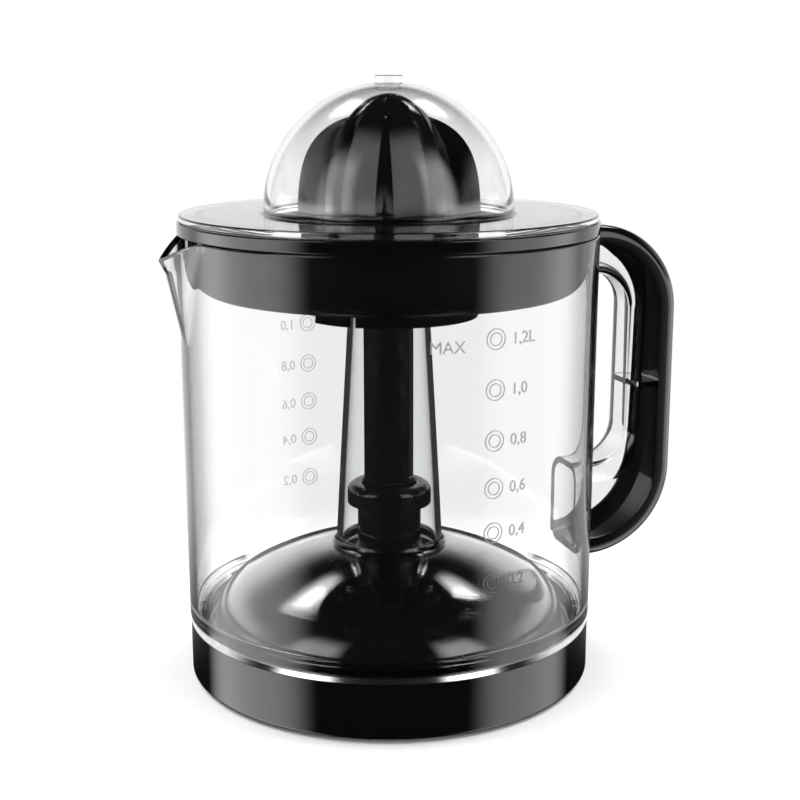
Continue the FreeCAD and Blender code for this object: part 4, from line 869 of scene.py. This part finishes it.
def soft_box(name, turn):
    """Rectangular lamp at an angle from the camera, aimed at the middle of the press."""
    data = bpy.data.lights.new(name, "AREA")
    data.shape = "RECTANGLE"
    data.size, data.size_y = LAMP_WIDTH, LAMP_TALL
    data.energy = LAMP_POWER
    made = placed(name, data)
    made.visible_glossy = made.visible_transmission = False
    angle = CAMERA_TURN + math.radians(turn)
    made.location = (LAMP_DISTANCE * math.cos(angle), LAMP_DISTANCE * math.sin(angle), LAMP_HEIGHT)
    made.rotation_euler = (Vector((0, 0, LAMP_AIM)) - made.location).to_track_quat("-Z", "Y").to_euler()


def seen_straight(tree, rays):
    """1 for what the camera sees directly or through clear plastic, with no mirror on the way."""
    straight, through = rays.outputs["Is Camera Ray"], rays.outputs["Is Transmission Ray"]
    unmirrored = arithmetic(tree, "LESS_THAN", rays.outputs["Glossy Depth"], 0.5)
    return arithmetic(tree, "MULTIPLY", arithmetic(tree, "MAXIMUM", straight, through), unmirrored)


def ramp(tree, value, low, high):
    """Smooth step of a value from 0 at low to 1 at high."""
    step = tree.nodes.new("ShaderNodeMapRange")
    step.interpolation_type = "SMOOTHSTEP"
    step.inputs["From Min"].default_value = low
    step.inputs["From Max"].default_value = high
    tree.links.new(value, step.inputs["Value"])
    return step.outputs["Result"]


def compass(tree, direction):
    """Level heading and height of a direction, as sockets."""
    level = tree.nodes.new("ShaderNodeVectorMath")
    level.operation = "MULTIPLY"
    level.inputs[1].default_value = (1, 1, 0)
    tree.links.new(direction, level.inputs[0])
    heading = tree.nodes.new("ShaderNodeVectorMath")
    heading.operation = "NORMALIZE"
    tree.links.new(level.outputs["Vector"], heading.inputs[0])
    parts = tree.nodes.new("ShaderNodeSeparateXYZ")
    tree.links.new(direction, parts.inputs["Vector"])
    return heading.outputs["Vector"], parts.outputs["Z"]


def upright_panel(tree, heading, height, panel):
    """Glow of a soft panel, placed in degrees: even in its core, gone past its edge, foot and head."""
    angle = CAMERA_TURN + math.radians(panel.turn)
    facing = tree.nodes.new("ShaderNodeVectorMath")
    facing.operation = "DOT_PRODUCT"
    facing.inputs[1].default_value = (math.cos(angle), math.sin(angle), 0)
    tree.links.new(heading, facing.inputs[0])
    edge, core = math.cos(math.radians(panel.edge)), math.cos(math.radians(panel.core))
    across = ramp(tree, facing.outputs["Value"], edge, core)
    above = ramp(tree, height, *(math.sin(math.radians(rise)) for rise in panel.foot))
    below = ramp(tree, height, *(math.sin(math.radians(rise)) for rise in reversed(panel.head)))
    window = arithmetic(tree, "MULTIPLY", across, arithmetic(tree, "MULTIPLY", above, below))
    return arithmetic(tree, "MULTIPLY", window, panel.level)


def studio_world():
    """White to the eye; backdrop, panels and a dim room in the gloss; an even fill for matt skins."""
    world = bpy.data.worlds.new("studio")
    scene.world = world
    world.use_nodes = True
    tree = world.node_tree
    rays = tree.nodes.new("ShaderNodeLightPath")
    direction = tree.nodes.new("ShaderNodeTexCoord").outputs["Generated"]
    heading, height = compass(tree, direction)
    room = ROOM_LEVEL
    for panel in MIRRORED_PANELS:
        room = arithmetic(tree, "ADD", upright_panel(tree, heading, height, panel), room)
    filled = arithmetic(tree, "MULTIPLY", rays.outputs["Is Diffuse Ray"], FILL_LEVEL)
    lit = arithmetic(tree, "MAXIMUM", room, filled)
    level = arithmetic(tree, "MAXIMUM", lit, seen_straight(tree, rays))
    tree.links.new(level, tree.nodes["Background"].inputs["Strength"])
    tree.nodes["Background"].inputs["Color"].default_value = (1, 1, 1, 1)


def studio_floor():
    """Matt white disc whose far part glows plain white, so that no horizon shows."""
    mesh = bpy.data.meshes.new("floor")
    work = bmesh.new()
    bmesh.ops.create_circle(work, cap_ends=True, segments=96, radius=FLOOR_RADIUS)
    work.to_mesh(mesh)
    work.free()
    material = bpy.data.materials.new("studio_floor")
    material.use_nodes = True
    tree = material.node_tree
    nodes, links = tree.nodes, tree.links
    paint = nodes["Principled BSDF"]
    paint.inputs["Roughness"].default_value = 0.8
    paint.inputs["Specular IOR Level"].default_value = 0.1
    glow = nodes.new("ShaderNodeEmission")
    place = nodes.new("ShaderNodeTexCoord")
    away = nodes.new("ShaderNodeVectorMath")
    away.operation = "LENGTH"
    links.new(place.outputs["Object"], away.inputs[0])
    fade = ramp(tree, away.outputs["Value"], FADE_START, FADE_END)
    rays = nodes.new("ShaderNodeLightPath")
    seen = seen_straight(tree, rays)
    tone = nodes.new("ShaderNodeMix")
    tone.data_type = "RGBA"
    tone.inputs["A"].default_value = FLOOR_MIRRORED
    tone.inputs["B"].default_value = FLOOR_WHITE
    links.new(arithmetic(tree, "MAXIMUM", seen, rays.outputs["Is Diffuse Ray"]), tone.inputs["Factor"])
    links.new(tone.outputs["Result"], paint.inputs["Base Color"])
    mix = nodes.new("ShaderNodeMixShader")
    links.new(arithmetic(tree, "MULTIPLY", fade, seen), mix.inputs["Fac"])
    links.new(paint.outputs["BSDF"], mix.inputs[1])
    links.new(glow.outputs["Emission"], mix.inputs[2])
    links.new(mix.outputs["Shader"], nodes["Material Output"].inputs["Surface"])
    mesh.materials.append(material)
    made = placed("floor", mesh)
    made.visible_glossy = False


place_camera()
studio_world()
studio_floor()
soft_box("left_lamp", -LAMP_TURN)
soft_box("right_lamp", LAMP_TURN)
